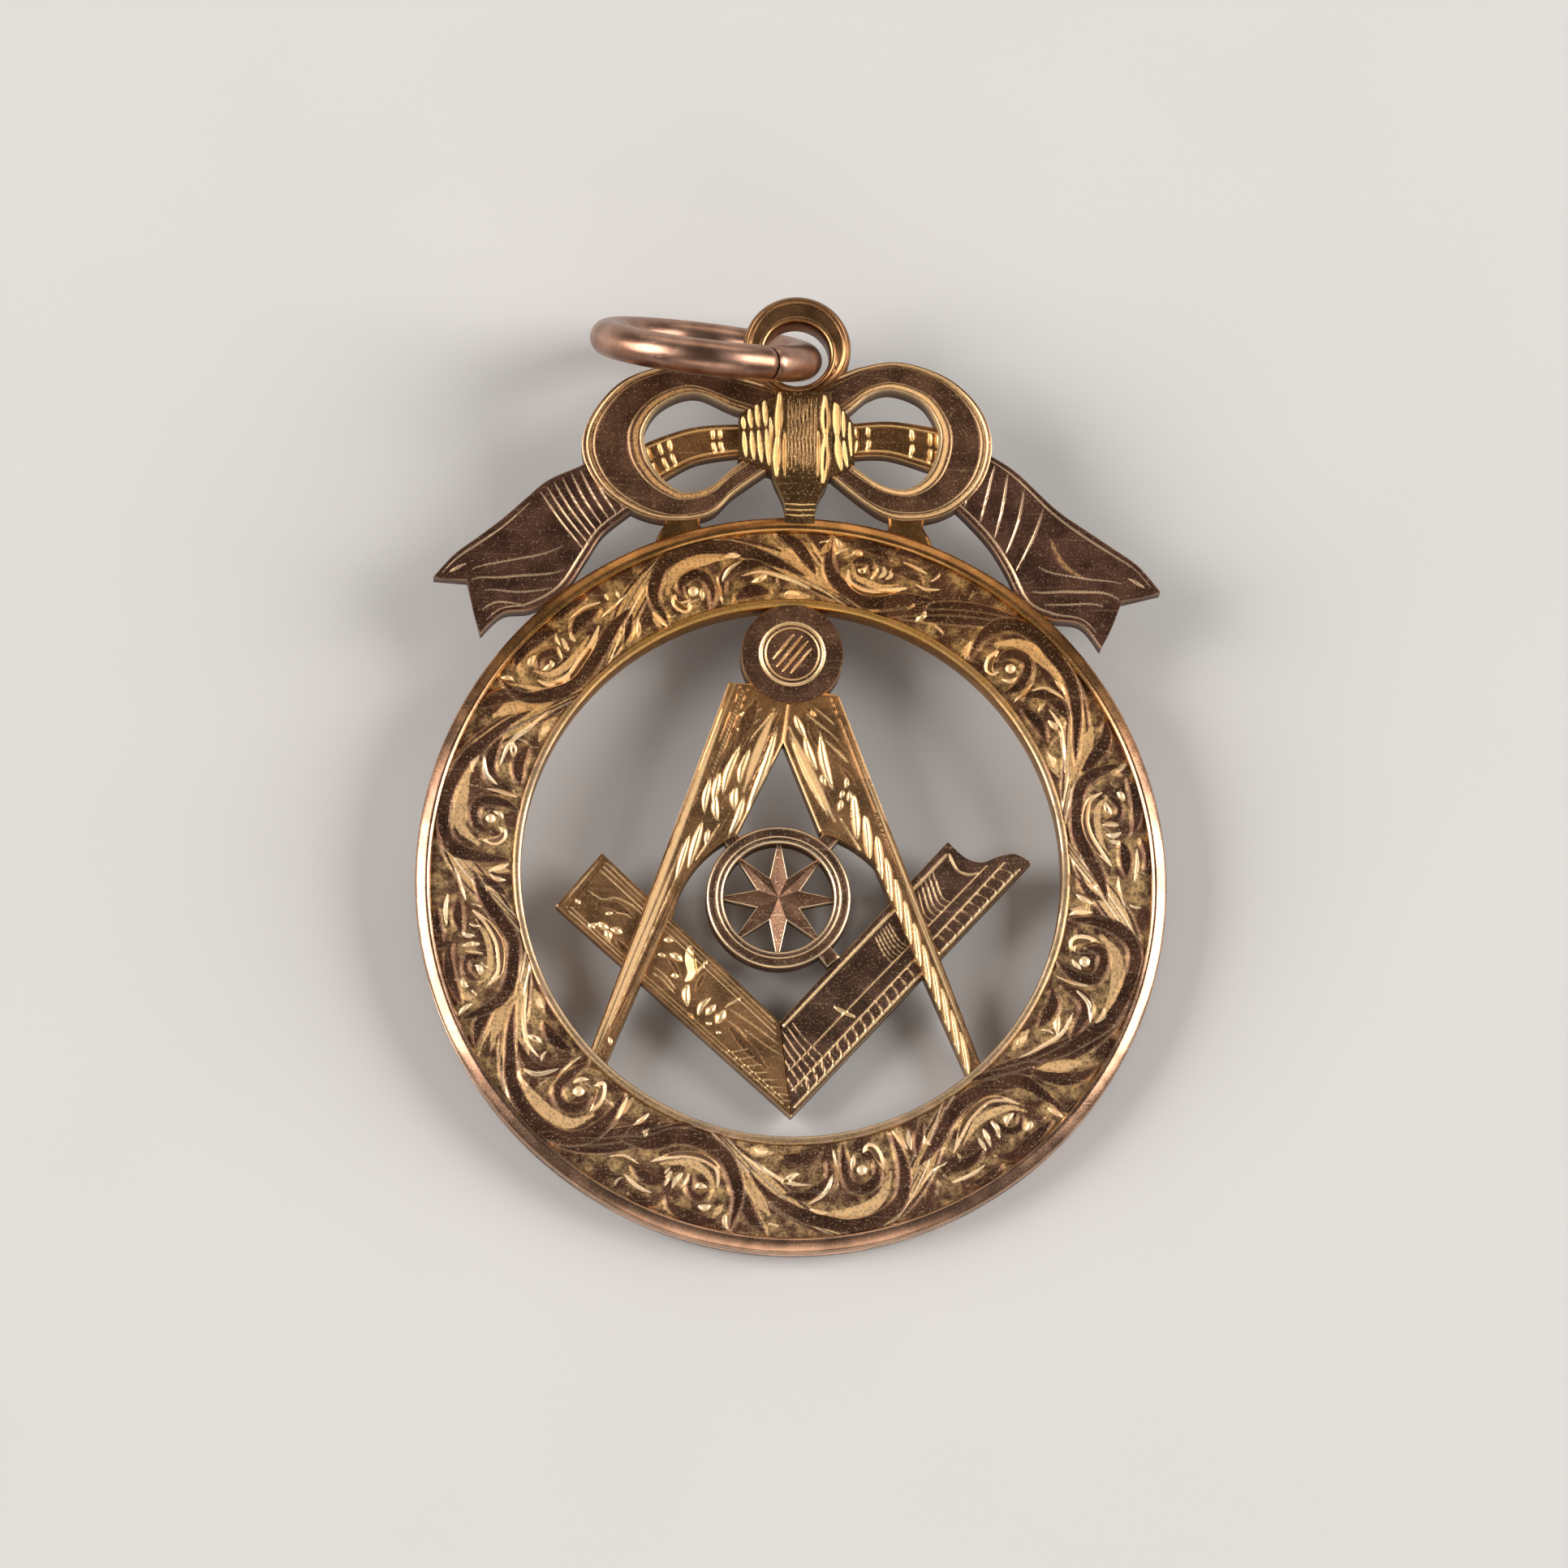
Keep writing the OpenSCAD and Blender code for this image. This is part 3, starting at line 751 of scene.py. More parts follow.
# Fan-shaped leaves with a hatched end. Columns: apex as angle and share, then the two ends of the fan
FANS = [
    ((69.5, .20), (58.0, .70), (64.5, .90)),
    ((251.5, .16), (231.5, .62), (239.5, 1.00)),
    ((310.0, .10), (298.0, .62), (304.0, .92)),
    ((370.0, .12), (356.0, .62), (362.0, .95)),
]


def engrave_fan(cuts, apex, low_end, high_end, turn):
    """A leaf that spreads from its apex to a wide end, where dark hatching runs into it. Its lines bend
    by 0.06 sin(pi s) of the band at the share s of their length."""
    rays = 11
    s = np.linspace(0, 1, 16)
    for k in range(rays):
        start = np.array(low_end) + (np.array(high_end) - low_end) * k / (rays - 1)
        path = start + (np.array(apex) - start) * s[:, None]
        path[:, 1] -= 0.06 * np.sin(np.pi * s)
        line = on_band(path[:, 0] + turn, path[:, 1])
        if k % 2 == 0:
            cuts.sink(line, 0.30, depth=-0.05, shine=0.36)
        else:
            cuts.pit(line[: 6 + k % 3], 0.06)


# What fills the free ground. Columns: whether it is a leaf, tries, width and length in mm, then how far
# round it the ground has to be free, and how deep in the ground it has to be
FILLING = [
    (True, 40, 0.40, 0.85, 0.16, 0.4),
    (False, 200, 0.14, 0.42, 0.08, 0.2),
]
FILLING_SEED = 7


def fill_ground(cuts, first, last, seed):
    """Small leaves and flicks of the graver where the curls leave the ground free. Each points away from
    the stem: its direction is the stem's, turned by 20 to 65 degrees to the side it lies on."""
    random = np.random.default_rng(seed)
    stem = stem_line()
    s = np.linspace(-1, 1, 7)[:, None]
    for leaf, tries, width, length, clear, sunk in FILLING:
        for _ in range(tries):
            angle = random.uniform(first + 2, last - 2)
            share = random.uniform(0.10, 0.92)
            centre = on_band(angle, share)
            level = np.interp([angle, angle + 1], stem[:, 0], stem[:, 1])
            run = on_band(angle + 1, level[1]) - on_band(angle, level[0])
            off_stem = math.copysign(math.radians(random.uniform(20, 65)), share - level[0])
            turn = math.atan2(run[1], run[0]) + off_stem
            way = np.array([math.cos(turn), math.sin(turn)])
            half = length / 2 * random.uniform(0.7, 1.3)
            bend = random.uniform(-0.08, 0.08)
            if not cuts.free(centre, clear, sunk):
                continue
            line = centre + s * half * way + bend * (1 - s**2) * leftward(way)
            if leaf:
                cuts.band(line, width, height=0.12, ends=None, slope=0.15, shine=0.2)
            else:
                cuts.gouge(line, width, shine=random.uniform(0.2, 0.8))


# How each kind of stroke is cut: the cut, the share of the stroke's width that it takes, and its values
STROKES = {
    "wall": (Engraving.band, 1.0, dict(height=0.17, ends=(0.3, 0.2), slope=0.16, shine=0.3)),
    "leaf": (Engraving.band, 0.85, dict(height=0.14, ends=None, slope=0.15, shine=0.25)),
    "edge": (Engraving.gouge, 1.0, dict(depth=0.06, hollow=1.6, shine=0.8, taper=0.6)),
    "fine": (Engraving.gouge, 1.0, dict(depth=0.04, hollow=1.4, shine=0.6, taper=0.3)),
    "line": (Engraving.gouge, 1.0, dict(steep=0.28, hollow=1.0, shine=0.8, taper=0.35)),
    "drop": (Engraving.gouge, 1.0, dict(steep=0.28, hollow=2.0, shine=0.85, taper=0.9)),
    "facet": (Engraving.facet, 1.0, {}),
    "groove": (Engraving.pit, 1.0, dict(depth=0.06)),
    # dark: a shallow sunk patch in the finish's sunk colour. On leg_gold that colour is near black, and there
    # these patches are painted shadows between the cuts
    "dark": (Engraving.sink, 1.0, {}),
    "gold": (Engraving.sink, 1.0, dict(shine=0.35)),
    "strip": (Engraving.sink, 1.0, dict(depth=0.0, shine=0.62)),
}


def engrave_stroke(cuts, kind, width, points, to_plate, steps):
    """One stroke of a chart, its points carried to the plate by to_plate. A bead's width is its radius."""
    if kind == "bead":
        cuts.bead(to_plate(*points[0]), width)
        return
    path = smooth(points, steps)
    stroke, share, values = STROKES[kind]
    stroke(cuts, to_plate(path[:, 0], path[:, 1]), share * width, **values)


def engrave_chart(cuts, chart, to_plate, steps=7):
    """Every stroke of a chart. Its columns are the stroke's kind, its width in mm and its points."""
    for kind, width, *points in chart:
        engrave_stroke(cuts, kind, width, points, to_plate, steps)


# Profile of the rim. Columns: distance out from the opening's edge, height, bright
RIM_PROFILE = [
    [0.03, 0.0, 0], [0.0, 0.04, 0], [0.0, 0.5, 0], [0.0, 1.03, .2], [0.03, 1.09, .5], [0.08, 1.12, .5],
    [0.15, 1.13, .3], [0.22, 1.12, .3], [0.27, 1.09, .3], [0.32, 1.02, .1], [0.36, 0.9, 0],
]
# Profile of the lip and the grooved edge. Columns: distance in from the ring's outer radius, height, bright
LIP_PROFILE = [
    [0.60, 0.9, 0], [0.59, 1.05, 0], [0.57, 1.13, .5], [0.54, 1.18, .6], [0.50, 1.215, .2],
    [0.46, 1.240, 0], [0.42, 1.247, 0], [0.38, 1.238, 0], [0.33, 1.217, 0], [0.27, 1.189, 0],
    [0.21, 1.159, 0], [0.15, 1.125, 0], [0.10, 1.092, 0], [0.06, 1.045, .2], [0.03, .98, .4],
    [0.02, .90, .3], [0.025, .82, .1], [0.05, .76, .3], [0.075, .73, 0], [0.08, .70, 0],
    [0.05, .67, .3], [0.05, .52, .1], [0.10, .48, .1], [0.13, .42, 0], [0.10, .36, .1],
    [0.05, .33, .3], [0.05, 0.1, .1], [0.08, 0.03, 0], [0.15, 0.0, 0],
]
# The surface wavers where a profile is higher than this, and the rim is stippled by this share
WAVER_ABOVE = 1.09
RIM_GROUND = 0.6


def ring_frame():
    """The ring without its engraved field: for each angle a profile that runs up the wall of the
    opening, over the rim, under the field, over the lip and down the grooved edge. The tops of the rim
    and the lip change by 0.006 sin 7a + 0.004 sin(23a + 40) - 0.01 mm at the angle a."""
    turns = 720
    angle = np.linspace(0, 360, turns, endpoint=False)
    out, rim_height, rim_shine = around(RIM_PROFILE, turns)
    inset, lip_height, lip_shine = around(LIP_PROFILE, turns)
    radius = np.hstack([opening_radius(angle)[:, None] + out, RING_R - inset])
    height = np.hstack([rim_height, lip_height])
    waver = 0.006 * np.sin(np.radians(7 * angle)) + 0.004 * np.sin(np.radians(23 * angle + 40)) - 0.01
    height = height + (height > WAVER_ABOVE) * waver[:, None]
    loops = np.dstack([on_ring(angle[:, None], radius), height])
    shine = np.hstack([rim_shine, lip_shine])
    dull = np.hstack([np.full_like(out, RIM_GROUND), np.zeros_like(inset)])
    return plate_piece(shell("ring_frame", loops, lip_gold, shine, dull, closed=True))


# How far the strokes of a sheath, a fan and a curl may reach from where it stands, in degrees on and back
SHEATH_REACH = (40, 4)
FAN_REACH = (8, 16)
CURL_REACH = (32, 16)


def ring_field(name, first, last):
    """Engraved half of the ring's field: a grid over angle and radius from the rim to the lip. It is
    sunk a little, the chart's strokes raise and cut it, and no cut is deeper than deepest."""
    sunk = 0.02
    deepest = 0.10
    rows = 1020
    columns = 86
    angle = np.linspace(first, last, rows)
    start, end = field_edges(angle)
    radius = start[:, None] + (end - start)[:, None] * np.linspace(0, 1, columns)
    plan = on_ring(angle[:, None], radius)
    cuts = Engraving(plan, ground=0.4)

    def reached(at, reach):
        return first - reach[0] < at < last + reach[1]

    stops = np.array([c[0] for c in CURLS])
    stops = np.concatenate([stops - 360, stops, stops[:2] + 360])
    for start_at, end_at in zip(stops[:-1], stops[1:]):
        if reached(start_at, SHEATH_REACH):
            engrave_sheath(cuts, start_at, end_at)
    for apex, low_end, high_end in FANS:
        for turn in (0, -360):
            if reached(apex[0] + turn, FAN_REACH):
                engrave_fan(cuts, apex, low_end, high_end, turn)
    for number, curl in enumerate(CURLS):
        for turn in (0, -360, 360):
            if reached(curl[0] + turn, CURL_REACH):
                engrave_curl(cuts, number, turn)
    fill_ground(cuts, first, last, FILLING_SEED + first)
    rise, bright, ground = cuts.layers()
    face = FIELD_T - sunk + np.maximum(rise, -deepest)
    return backed_face(name, plan, face, bright, ground, ring_gold, base=FIELD_UNDER)


# Compasses: the outer line of each leg from top to foot, where the legs part, how much wider than its
# foot a leg's bar is at its top, and the radius of the round cut in its web
LEFT_LEG = np.array([[-2.35, 7.30], [-7.33, -6.90]])
RIGHT_LEG = np.array([[1.62, 6.90], [7.08, -7.10]])
CROTCH = np.array([-0.36, 5.14])
LEG_GROWTH = 0.7
WEB_R = 4.0
# The web's outline starts this far below the head's middle, drops this far from the gap's corner, and
# ends in the bar at a share of the leg's length
WEB_DROP = np.array([0, 1.2])
WEB_END = 0.66
WEB_END_ACROSS = 0.3


class Leg(Layout):
    """One leg of the compasses, measured in mm along and across from the top of its outer line."""

    def __init__(self, line, side, foot_w, gap_corner, web_at):
        self.top = line[0]
        self.length = float(np.hypot(*(line[1] - line[0])))
        self.run = (line[1] - line[0]) / self.length
        self.inward = side * leftward(self.run)
        self.foot_w = foot_w
        corner = np.array(gap_corner)
        web = self.local(np.array([HEAD_AT - WEB_DROP, CROTCH, corner, corner - WEB_DROP]))
        self.web = np.vstack([web, [WEB_END * self.length, WEB_END_ACROSS]])
        self.round = self.local(np.array([web_at]))[0]

    def local(self, at):
        """Distances along and across of plate points."""
        return np.stack([(at - self.top) @ self.run, (at - self.top) @ self.inward], -1)

    def width(self, along):
        """Width at a distance along: the bar's own, or the web's where that is wider. The web ends at
        its outline or at the circle that is cut out of it, whichever comes first."""
        bar = self.foot_w + LEG_GROWTH * (1 - np.clip(along, 0, None) / self.length)
        outline = np.interp(along, self.web[:, 0], self.web[:, 1])
        drop = np.sqrt(np.clip(WEB_R**2 - (along - self.round[0]) ** 2, 0, None))
        circle = np.where(drop > 0, self.round[1] - drop, np.inf)
        return np.maximum(bar, np.minimum(outline, circle))

    def at(self, along, across):
        along, across = np.broadcast_arrays(np.asarray(along, float), np.asarray(across, float))
        return self.top + along[..., None] * self.run + across[..., None] * self.inward

    def plan(self, rows, columns):
        """Its top edge slants up to the head's middle, and its sections lie square to the bar."""
        s = spread(rows, 0.004)[:, None]
        v = spread(columns, 0.03)[None, :]
        start = self.web[0, 0] * v
        along = start + s * (self.length - start)
        return self.at(along, v * self.width(along))


# Cuts on the left leg. Columns: kind, width in mm, then (along, across) points in mm
LEFT_LEG_CUTS = [
    ("strip", 0.36, (-.1, .22), (5, .22), (10, .20), (14.9, .14)),
    ("strip", 0.34, (6.2, .50), (8, .46), (10, .40), (14.6, .24)),
    ("strip", 0.16, (.1, .60), (1.8, .60), (3.6, .60)),
    ("groove", 0.07, (.0, .46), (2.4, .46), (4.8, .42)),
    ("groove", 0.07, (.0, .74), (1.6, .74), (3.0, .72)),
    ("fine", 0.07, (.0, .13), (5, .13), (14.8, .10)),
    ("dark", 0.30, (.3, 2.1), (1.2, 1.98), (1.9, 1.72)),
    ("fine", 0.13, (.5, 1.45), (.75, 1.2), (.8, .95)),
    ("fine", 0.13, (.9, 1.5), (1.2, 1.3), (1.35, 1.0)),
    ("bead", 0.12, (.95, .92)),
    ("bead", 0.11, (1.52, .98)),
    ("fine", 0.10, (.25, 1.9), (.9, 1.75), (1.6, 1.5), (2.2, 1.4)),
    ("strip", 0.44, (.5, 1.9), (2.0, 1.85), (3.6, 1.88)),
    ("dark", 0.60, (.35, 1.15), (1.1, 1.12), (1.9, 1.1)),
    ("dark", 0.26, (1.3, 1.42), (2.4, 1.38), (3.2, 1.38)),
    ("dark", 0.30, (1.8, .95), (2.8, .9), (3.5, .78)),
    ("dark", 0.30, (4.4, 1.75), (5.1, 1.7), (5.6, 1.5)),
    ("dark", 0.20, (3.9, 1.42), (4.3, 1.38), (4.6, 1.4)),
    ("drop", 0.34, (.9, 2.2), (2.2, 2.28), (3.4, 2.28), (4.4, 2.24)),
    ("groove", 0.07, (.9, 2.06), (2.2, 2.10), (3.5, 2.08)),
    ("drop", 0.30, (2.0, 1.2), (3.1, 1.12), (4.05, 1.24)),
    ("drop", 0.30, (3.2, .84), (3.9, .92), (4.4, 1.02)),
    ("drop", 0.26, (3.5, .60), (4.3, .68), (4.9, .86)),
    ("drop", 0.28, (4.1, 1.02), (4.55, 1.14), (4.98, 1.4)),
    ("drop", 0.30, (2.0, 1.56), (2.8, 1.52), (3.45, 1.66)),
    ("drop", 0.30, (3.5, 1.60), (3.9, 1.62), (4.4, 1.84)),
    ("drop", 0.26, (3.7, 1.96), (4.6, 2.02), (5.4, 1.94)),
    ("drop", 0.32, (5.1, .88), (6.0, .92), (7.0, 1.0)),
    ("drop", 0.20, (5.3, 1.18), (5.6, 1.22), (5.95, 1.3)),
    ("drop", 0.24, (5.7, .62), (6.6, .66), (7.6, .74)),
    ("drop", 0.18, (6.4, 1.34), (6.8, 1.28), (7.1, 1.18)),
    ("fine", 0.10, (5.0, 1.5), (5.8, 1.34), (6.6, 1.14)),
    ("dark", 0.24, (6.6, .84), (9.2, .72), (11.2, .61), (12.8, .49), (14.4, .36)),
    ("fine", 0.07, (7.4, .70), (9.4, .60), (11.4, .48), (13.4, .36)),
    ("strip", 0.16, (7.2, 1.02), (9.2, .90), (11.2, .78), (13.6, .60)),
    ("drop", 0.16, (13.7, .46), (13.85, .58), (14.0, .64)),
    ("dark", 0.20, (14.1, .46), (14.5, .44)),
]


# Cuts on the right leg. Columns: kind, width in mm, then (along, across) points in mm
RIGHT_LEG_CUTS = [
    ("strip", 0.24, (-.1, .15), (5, .15), (10, .14), (14.9, .12)),
    ("strip", 0.22, (6.5, .24), (10, .20), (14.6, .16)),
    ("strip", 0.14, (.0, .42), (2.0, .42), (4.0, .42)),
    ("groove", 0.07, (.0, .31), (3.0, .31), (7.0, .30)),
    ("fine", 0.13, (.25, 1.32), (.9, .98), (1.6, .60)),
    ("fine", 0.13, (1.3, 1.08), (1.9, .80), (2.5, .55)),
    ("fine", 0.09, (.1, 1.0), (.6, .72), (1.0, .52)),
    ("dark", 0.34, (.75, 1.16), (1.4, .84), (2.1, .52)),
    ("dark", 0.34, (.0, 1.30), (.5, 1.0), (1.1, .60)),
    ("dark", 0.26, (.6, 1.42), (1.1, 1.40), (1.6, 1.36)),
    ("dark", 0.26, (3.0, 1.68), (3.4, 1.72), (3.9, 1.62)),
    ("dark", 0.26, (2.4, .9), (2.9, .74), (3.4, .62)),
    ("strip", 0.44, (.5, 2.10), (2.2, 2.00), (4.3, 1.78)),
    ("drop", 0.20, (.6, 2.2), (2.4, 2.14), (4.2, 1.92)),
    ("drop", 0.22, (.15, 1.14), (.3, 1.12), (.45, 1.02)),
    ("drop", 0.28, (.1, 1.74), (.6, 1.74), (1.1, 1.68)),
    ("drop", 0.28, (.9, 1.66), (1.6, 1.76), (2.4, 1.72)),
    ("drop", 0.32, (1.0, 1.10), (1.9, 1.34), (2.6, 1.42), (3.3, 1.44)),
    ("drop", 0.22, (2.5, 1.60), (2.8, 1.64), (3.0, 1.60)),
    ("drop", 0.20, (3.6, 1.24), (3.9, 1.42), (4.0, 1.56)),
    ("drop", 0.18, (3.3, 1.08), (3.5, 1.20), (3.6, 1.32)),
    ("drop", 0.18, (2.9, .80), (3.2, .90), (3.3, 1.04)),
    ("drop", 0.18, (3.4, .86), (3.7, 1.0), (3.8, 1.12)),
    ("fine", 0.10, (4.2, 1.56), (5.2, 1.38), (6.4, 1.16)),
]


def left_leg():
    """Left leg: a bright strip and a row of ticks along its outer edge, curls near the head, long leaf
    blades in the wide part, a bright strip along the gap and a dark line of painted shadow down the bar."""
    leg = Leg(LEFT_LEG, side=1, foot_w=0.68, gap_corner=(-2.12, 1.43), web_at=(-0.25, -1.90))
    plan = leg.plan(rows=560, columns=52)
    cuts = Engraving(plan)
    engrave_chart(cuts, LEFT_LEG_CUTS, leg.at)
    ticks = 22
    tick_step = 0.15
    for k in range(ticks):
        along = 0.1 + tick_step * k
        cuts.gouge(leg.line((along, .53), (along + .1, .66)), 0.07, depth=0.03, hollow=1.0, shine=0.6)
    return relief_plate("left_leg", plan, cuts, LEGS_T, leg_gold)


def right_leg():
    """Right leg: a bright strip along its outer edge, crossing lines and leaf blades at its top, and a
    rope of long slanted bars down its middle. Each bar is nearer to the edge, narrower and flatter than
    the one above it."""
    leg = Leg(RIGHT_LEG, side=-1, foot_w=0.56, gap_corner=(1.10, 1.60), web_at=(0.10, -2.05))
    plan = leg.plan(rows=560, columns=52)
    cuts = Engraving(plan)
    engrave_chart(cuts, RIGHT_LEG_CUTS, leg.at)
    bars = 12
    bar_step = 0.86
    for k in range(bars):
        along = 3.6 + bar_step * k
        across = 0.60 - 0.030 * k + 0.10 * max(0, 2 - k)
        width = 0.30 - 0.004 * k
        rise = 0.46 - 0.012 * k
        shadow = leg.line((along + .1, across - .1), (along + 0.8, across + 0.5 * rise - .13))
        bar = leg.line((along, across), (along + 0.85, across + 0.5 * rise), (along + 1.6, across + rise))
        cuts.sink(shadow, 0.10)
        cuts.gouge(bar, width, depth=0.12, taper=0.5)
    return relief_plate("right_leg", plan, cuts, LEGS_T, leg_gold)


def disc(name, centre, profile, material, turns, cuts_on=None):
    """Turned piece: each profile row is (radius, height, bright, engraved), carried round the centre.
    cuts_on engraves the rows where engraved is 1."""
    radius, height, bright, engraved = around(profile, turns)
    plan = centre + on_ring(np.linspace(0, 360, turns, endpoint=False)[:, None], radius)
    ground = np.zeros_like(bright)
    if cuts_on:
        cuts = Engraving(plan)
        cuts_on(cuts)
        rise, cut_bright, cut_ground = cuts.layers()
        face = engraved > 0
        height[face] += rise[face]
        bright[face] = np.maximum(bright, cut_bright)[face]
        ground[face] = cut_ground[face]
    piece = shell(name, np.dstack([plan, height]), material, bright, ground, closed=True)
    return plate_piece(weld(piece))


def engrave_pin(cuts):
    """The hinge pin on the head of the compasses: two rings and four slots."""
    turn = np.linspace(0, 2 * np.pi, 97)
    for radius, width in ((1.14, 0.14), (0.96, 0.06)):
        ring = HEAD_AT + radius * np.stack([np.cos(turn), np.sin(turn)], -1)
        cuts.gouge(ring, width, depth=0.06, hollow=1.0, taper=0.0)
    slant = heading(52)
    beside = leftward(slant)
    for k in (-1.5, -0.5, 0.5, 1.5):
        middle = HEAD_AT + 0.27 * k * beside
        reach = (0.80 - 0.14 * abs(k)) * slant
        cuts.gouge(np.array([middle - reach, middle + reach]), 0.12, depth=0.08, hollow=1.0, taper=0.25)


def compass_head():
    """Round head of the compasses: a flat disc with the hinge pin on it."""
    wall = [
        (0, 0, 0, 0), (HEAD_R - 0.05, 0, 0, 0), (HEAD_R, 0.05, 0, 0), (HEAD_R, HEAD_T - 0.07, .5, 0),
    ]
    rows = [(r, HEAD_T, 0, 1) for r in np.linspace(HEAD_R - 0.06, 0, 52)]
    return disc("compass_head", HEAD_AT, wall + rows, rose_flat, turns=270, cuts_on=engrave_pin)


# The set square: outer corner, inner corner and the ends of its two arms
SQUARE_CORNER = np.array([0.10, -8.50])
SQUARE_INNER = np.array([-0.34, -5.07])
LEFT_ARM_END = np.array([[-8.41, -0.99], [-6.81, 0.97]])
RIGHT_ARM_END = np.array([[8.61, .96], [8.05, 1.25], [7.45, 1.15], [6.85, .92], [6.25, 1.08], [5.61, 1.65]])


class Arm(Layout):
    """One arm of the set square: share 0 along is its end, share 1 the mitre at the corner, and share 0
    across is its outer edge. A point lies on the straight line from the end curve to the mitre."""

    def __init__(self, end):
        self.end = smooth(end, 12) if len(end) > 2 else end

    def at(self, along, across):
        along, across = np.broadcast_arrays(np.asarray(along, float), np.asarray(across, float))
        end = point_on(self.end, across)
        mitre = SQUARE_CORNER + (SQUARE_INNER - SQUARE_CORNER) * across[..., None]
        return end + (mitre - end) * along[..., None]

    def plan(self, rows, columns):
        """Its points from the end to the mitre, closer together at its border."""
        return self.grid(spread(rows, 0.004), spread(columns, 0.02))


# Foliage on the left arm. Columns: kind, width in mm, then (along, across) points
LEFT_ARM_LEAVES = [
    ("strip", 0.20, (.014, .04), (.014, .96)),
    ("groove", 0.06, (.034, .08), (.034, .92)),
    ("fine", 0.10, (.05, .47), (.11, .51), (.15, .66), (.22, .74), (.28, .74)),
    ("dark", 0.42, (.11, .42), (.16, .56), (.24, .62)),
    ("dark", 0.30, (.22, .22), (.26, .20), (.30, .2)),
    ("fine", 0.09, (.18, .50), (.21, .58), (.24, .60)),
    ("drop", 0.22, (.12, .06), (.135, .14), (.145, .22)),
    ("drop", 0.30, (.145, .24), (.165, .23), (.185, .26)),
    ("drop", 0.28, (.175, .20), (.19, .20), (.21, .13)),
    ("drop", 0.32, (.19, .27), (.21, .31), (.235, .34)),
    ("drop", 0.18, (.15, .38), (.16, .43), (.17, .46)),
    ("drop", 0.16, (.035, .26), (.045, .25), (.06, .24)),
    ("drop", 0.26, (.39, .68), (.41, .74), (.43, .77)),
    ("drop", 0.34, (.43, .60), (.46, .63), (.49, .64)),
    ("drop", 0.20, (.385, .46), (.40, .50), (.42, .52)),
    ("drop", 0.28, (.46, .36), (.475, .41), (.495, .46)),
    ("dark", 0.26, (.42, .54), (.47, .50), (.50, .42)),
    ("fine", 0.08, (.39, .30), (.44, .30), (.49, .26)),
    ("fine", 0.08, (.39, .22), (.44, .23), (.49, .20)),
    ("facet", 0.40, (.505, .90), (.515, .76), (.54, .62), (.52, .44)),
    ("drop", 0.30, (.535, .46), (.532, .32), (.55, .18)),
    ("fine", 0.12, (.60, .92), (.575, .76), (.55, .58)),
    ("dark", 0.26, (.57, .44), (.58, .60), (.60, .76)),
    ("drop", 0.26, (.594, .18), (.606, .36), (.64, .54)),
    ("drop", 0.32, (.626, .28), (.645, .40), (.662, .50)),
    ("drop", 0.38, (.672, .28), (.688, .40), (.705, .54)),
    ("line", 0.12, (.705, .56), (.74, .70), (.785, .86)),
    ("drop", 0.18, (.63, .19), (.645, .22), (.655, .25)),
    ("drop", 0.16, (.675, .18), (.685, .21), (.695, .23)),
    ("drop", 0.16, (.55, .12), (.565, .12), (.58, .10)),
    ("dark", 0.46, (.74, .38), (.82, .34), (.90, .30)),
    ("fine", 0.08, (.72, .44), (.76, .46), (.81, .44)),
    ("fine", 0.09, (.73, .60), (.84, .66), (.98, .72)),
    ("fine", 0.08, (.80, .52), (.90, .56), (.99, .62)),
]


def square_left_arm():
    """Left arm of the set square: lines along both edges, a row of leaves between them and a wavy
    hatch towards the corner."""
    arm = Arm(LEFT_ARM_END)
    plan = arm.plan(rows=300, columns=84)
    cuts = Engraving(plan)
    for across, width in ((.06, .09), (.12, .07), (.80, .07), (.87, .09), (.94, .07)):
        edge = arm.line((.04, across), (.5, across), (.97, across))
        cuts.gouge(edge, width, depth=0.05, hollow=1.0, shine=0.6, taper=0.1)
    engrave_chart(cuts, LEFT_ARM_LEAVES, arm.at)
    waves = 9
    wave_step = .034
    for k in range(waves):
        along = .70 + wave_step * k
        wave = arm.line((along, .03), (along + .05, .14), (along + .12, .34 - .012 * k))
        cuts.gouge(wave, 0.08, depth=0.04, hollow=1.0, shine=0.6)
    return relief_plate("square_left_arm", plan, cuts, SQUARE_T, leg_gold)


# Groups of cross lines on the right arm. Columns: lines, share along of the first, step, width in mm, bright,
# then (along, across) points from there
RIGHT_ARM_HATCH = [
    (6, .13, .022, .08, .6, (0, .90), (.05, .68), (.075, .47)),
    (6, .395, .015, .07, .6, (0, .88), (.012, .68), (.018, .48)),
    (6, .83, .026, .07, .5, (0, .10), (.05, .48), (.11, .88)),
]


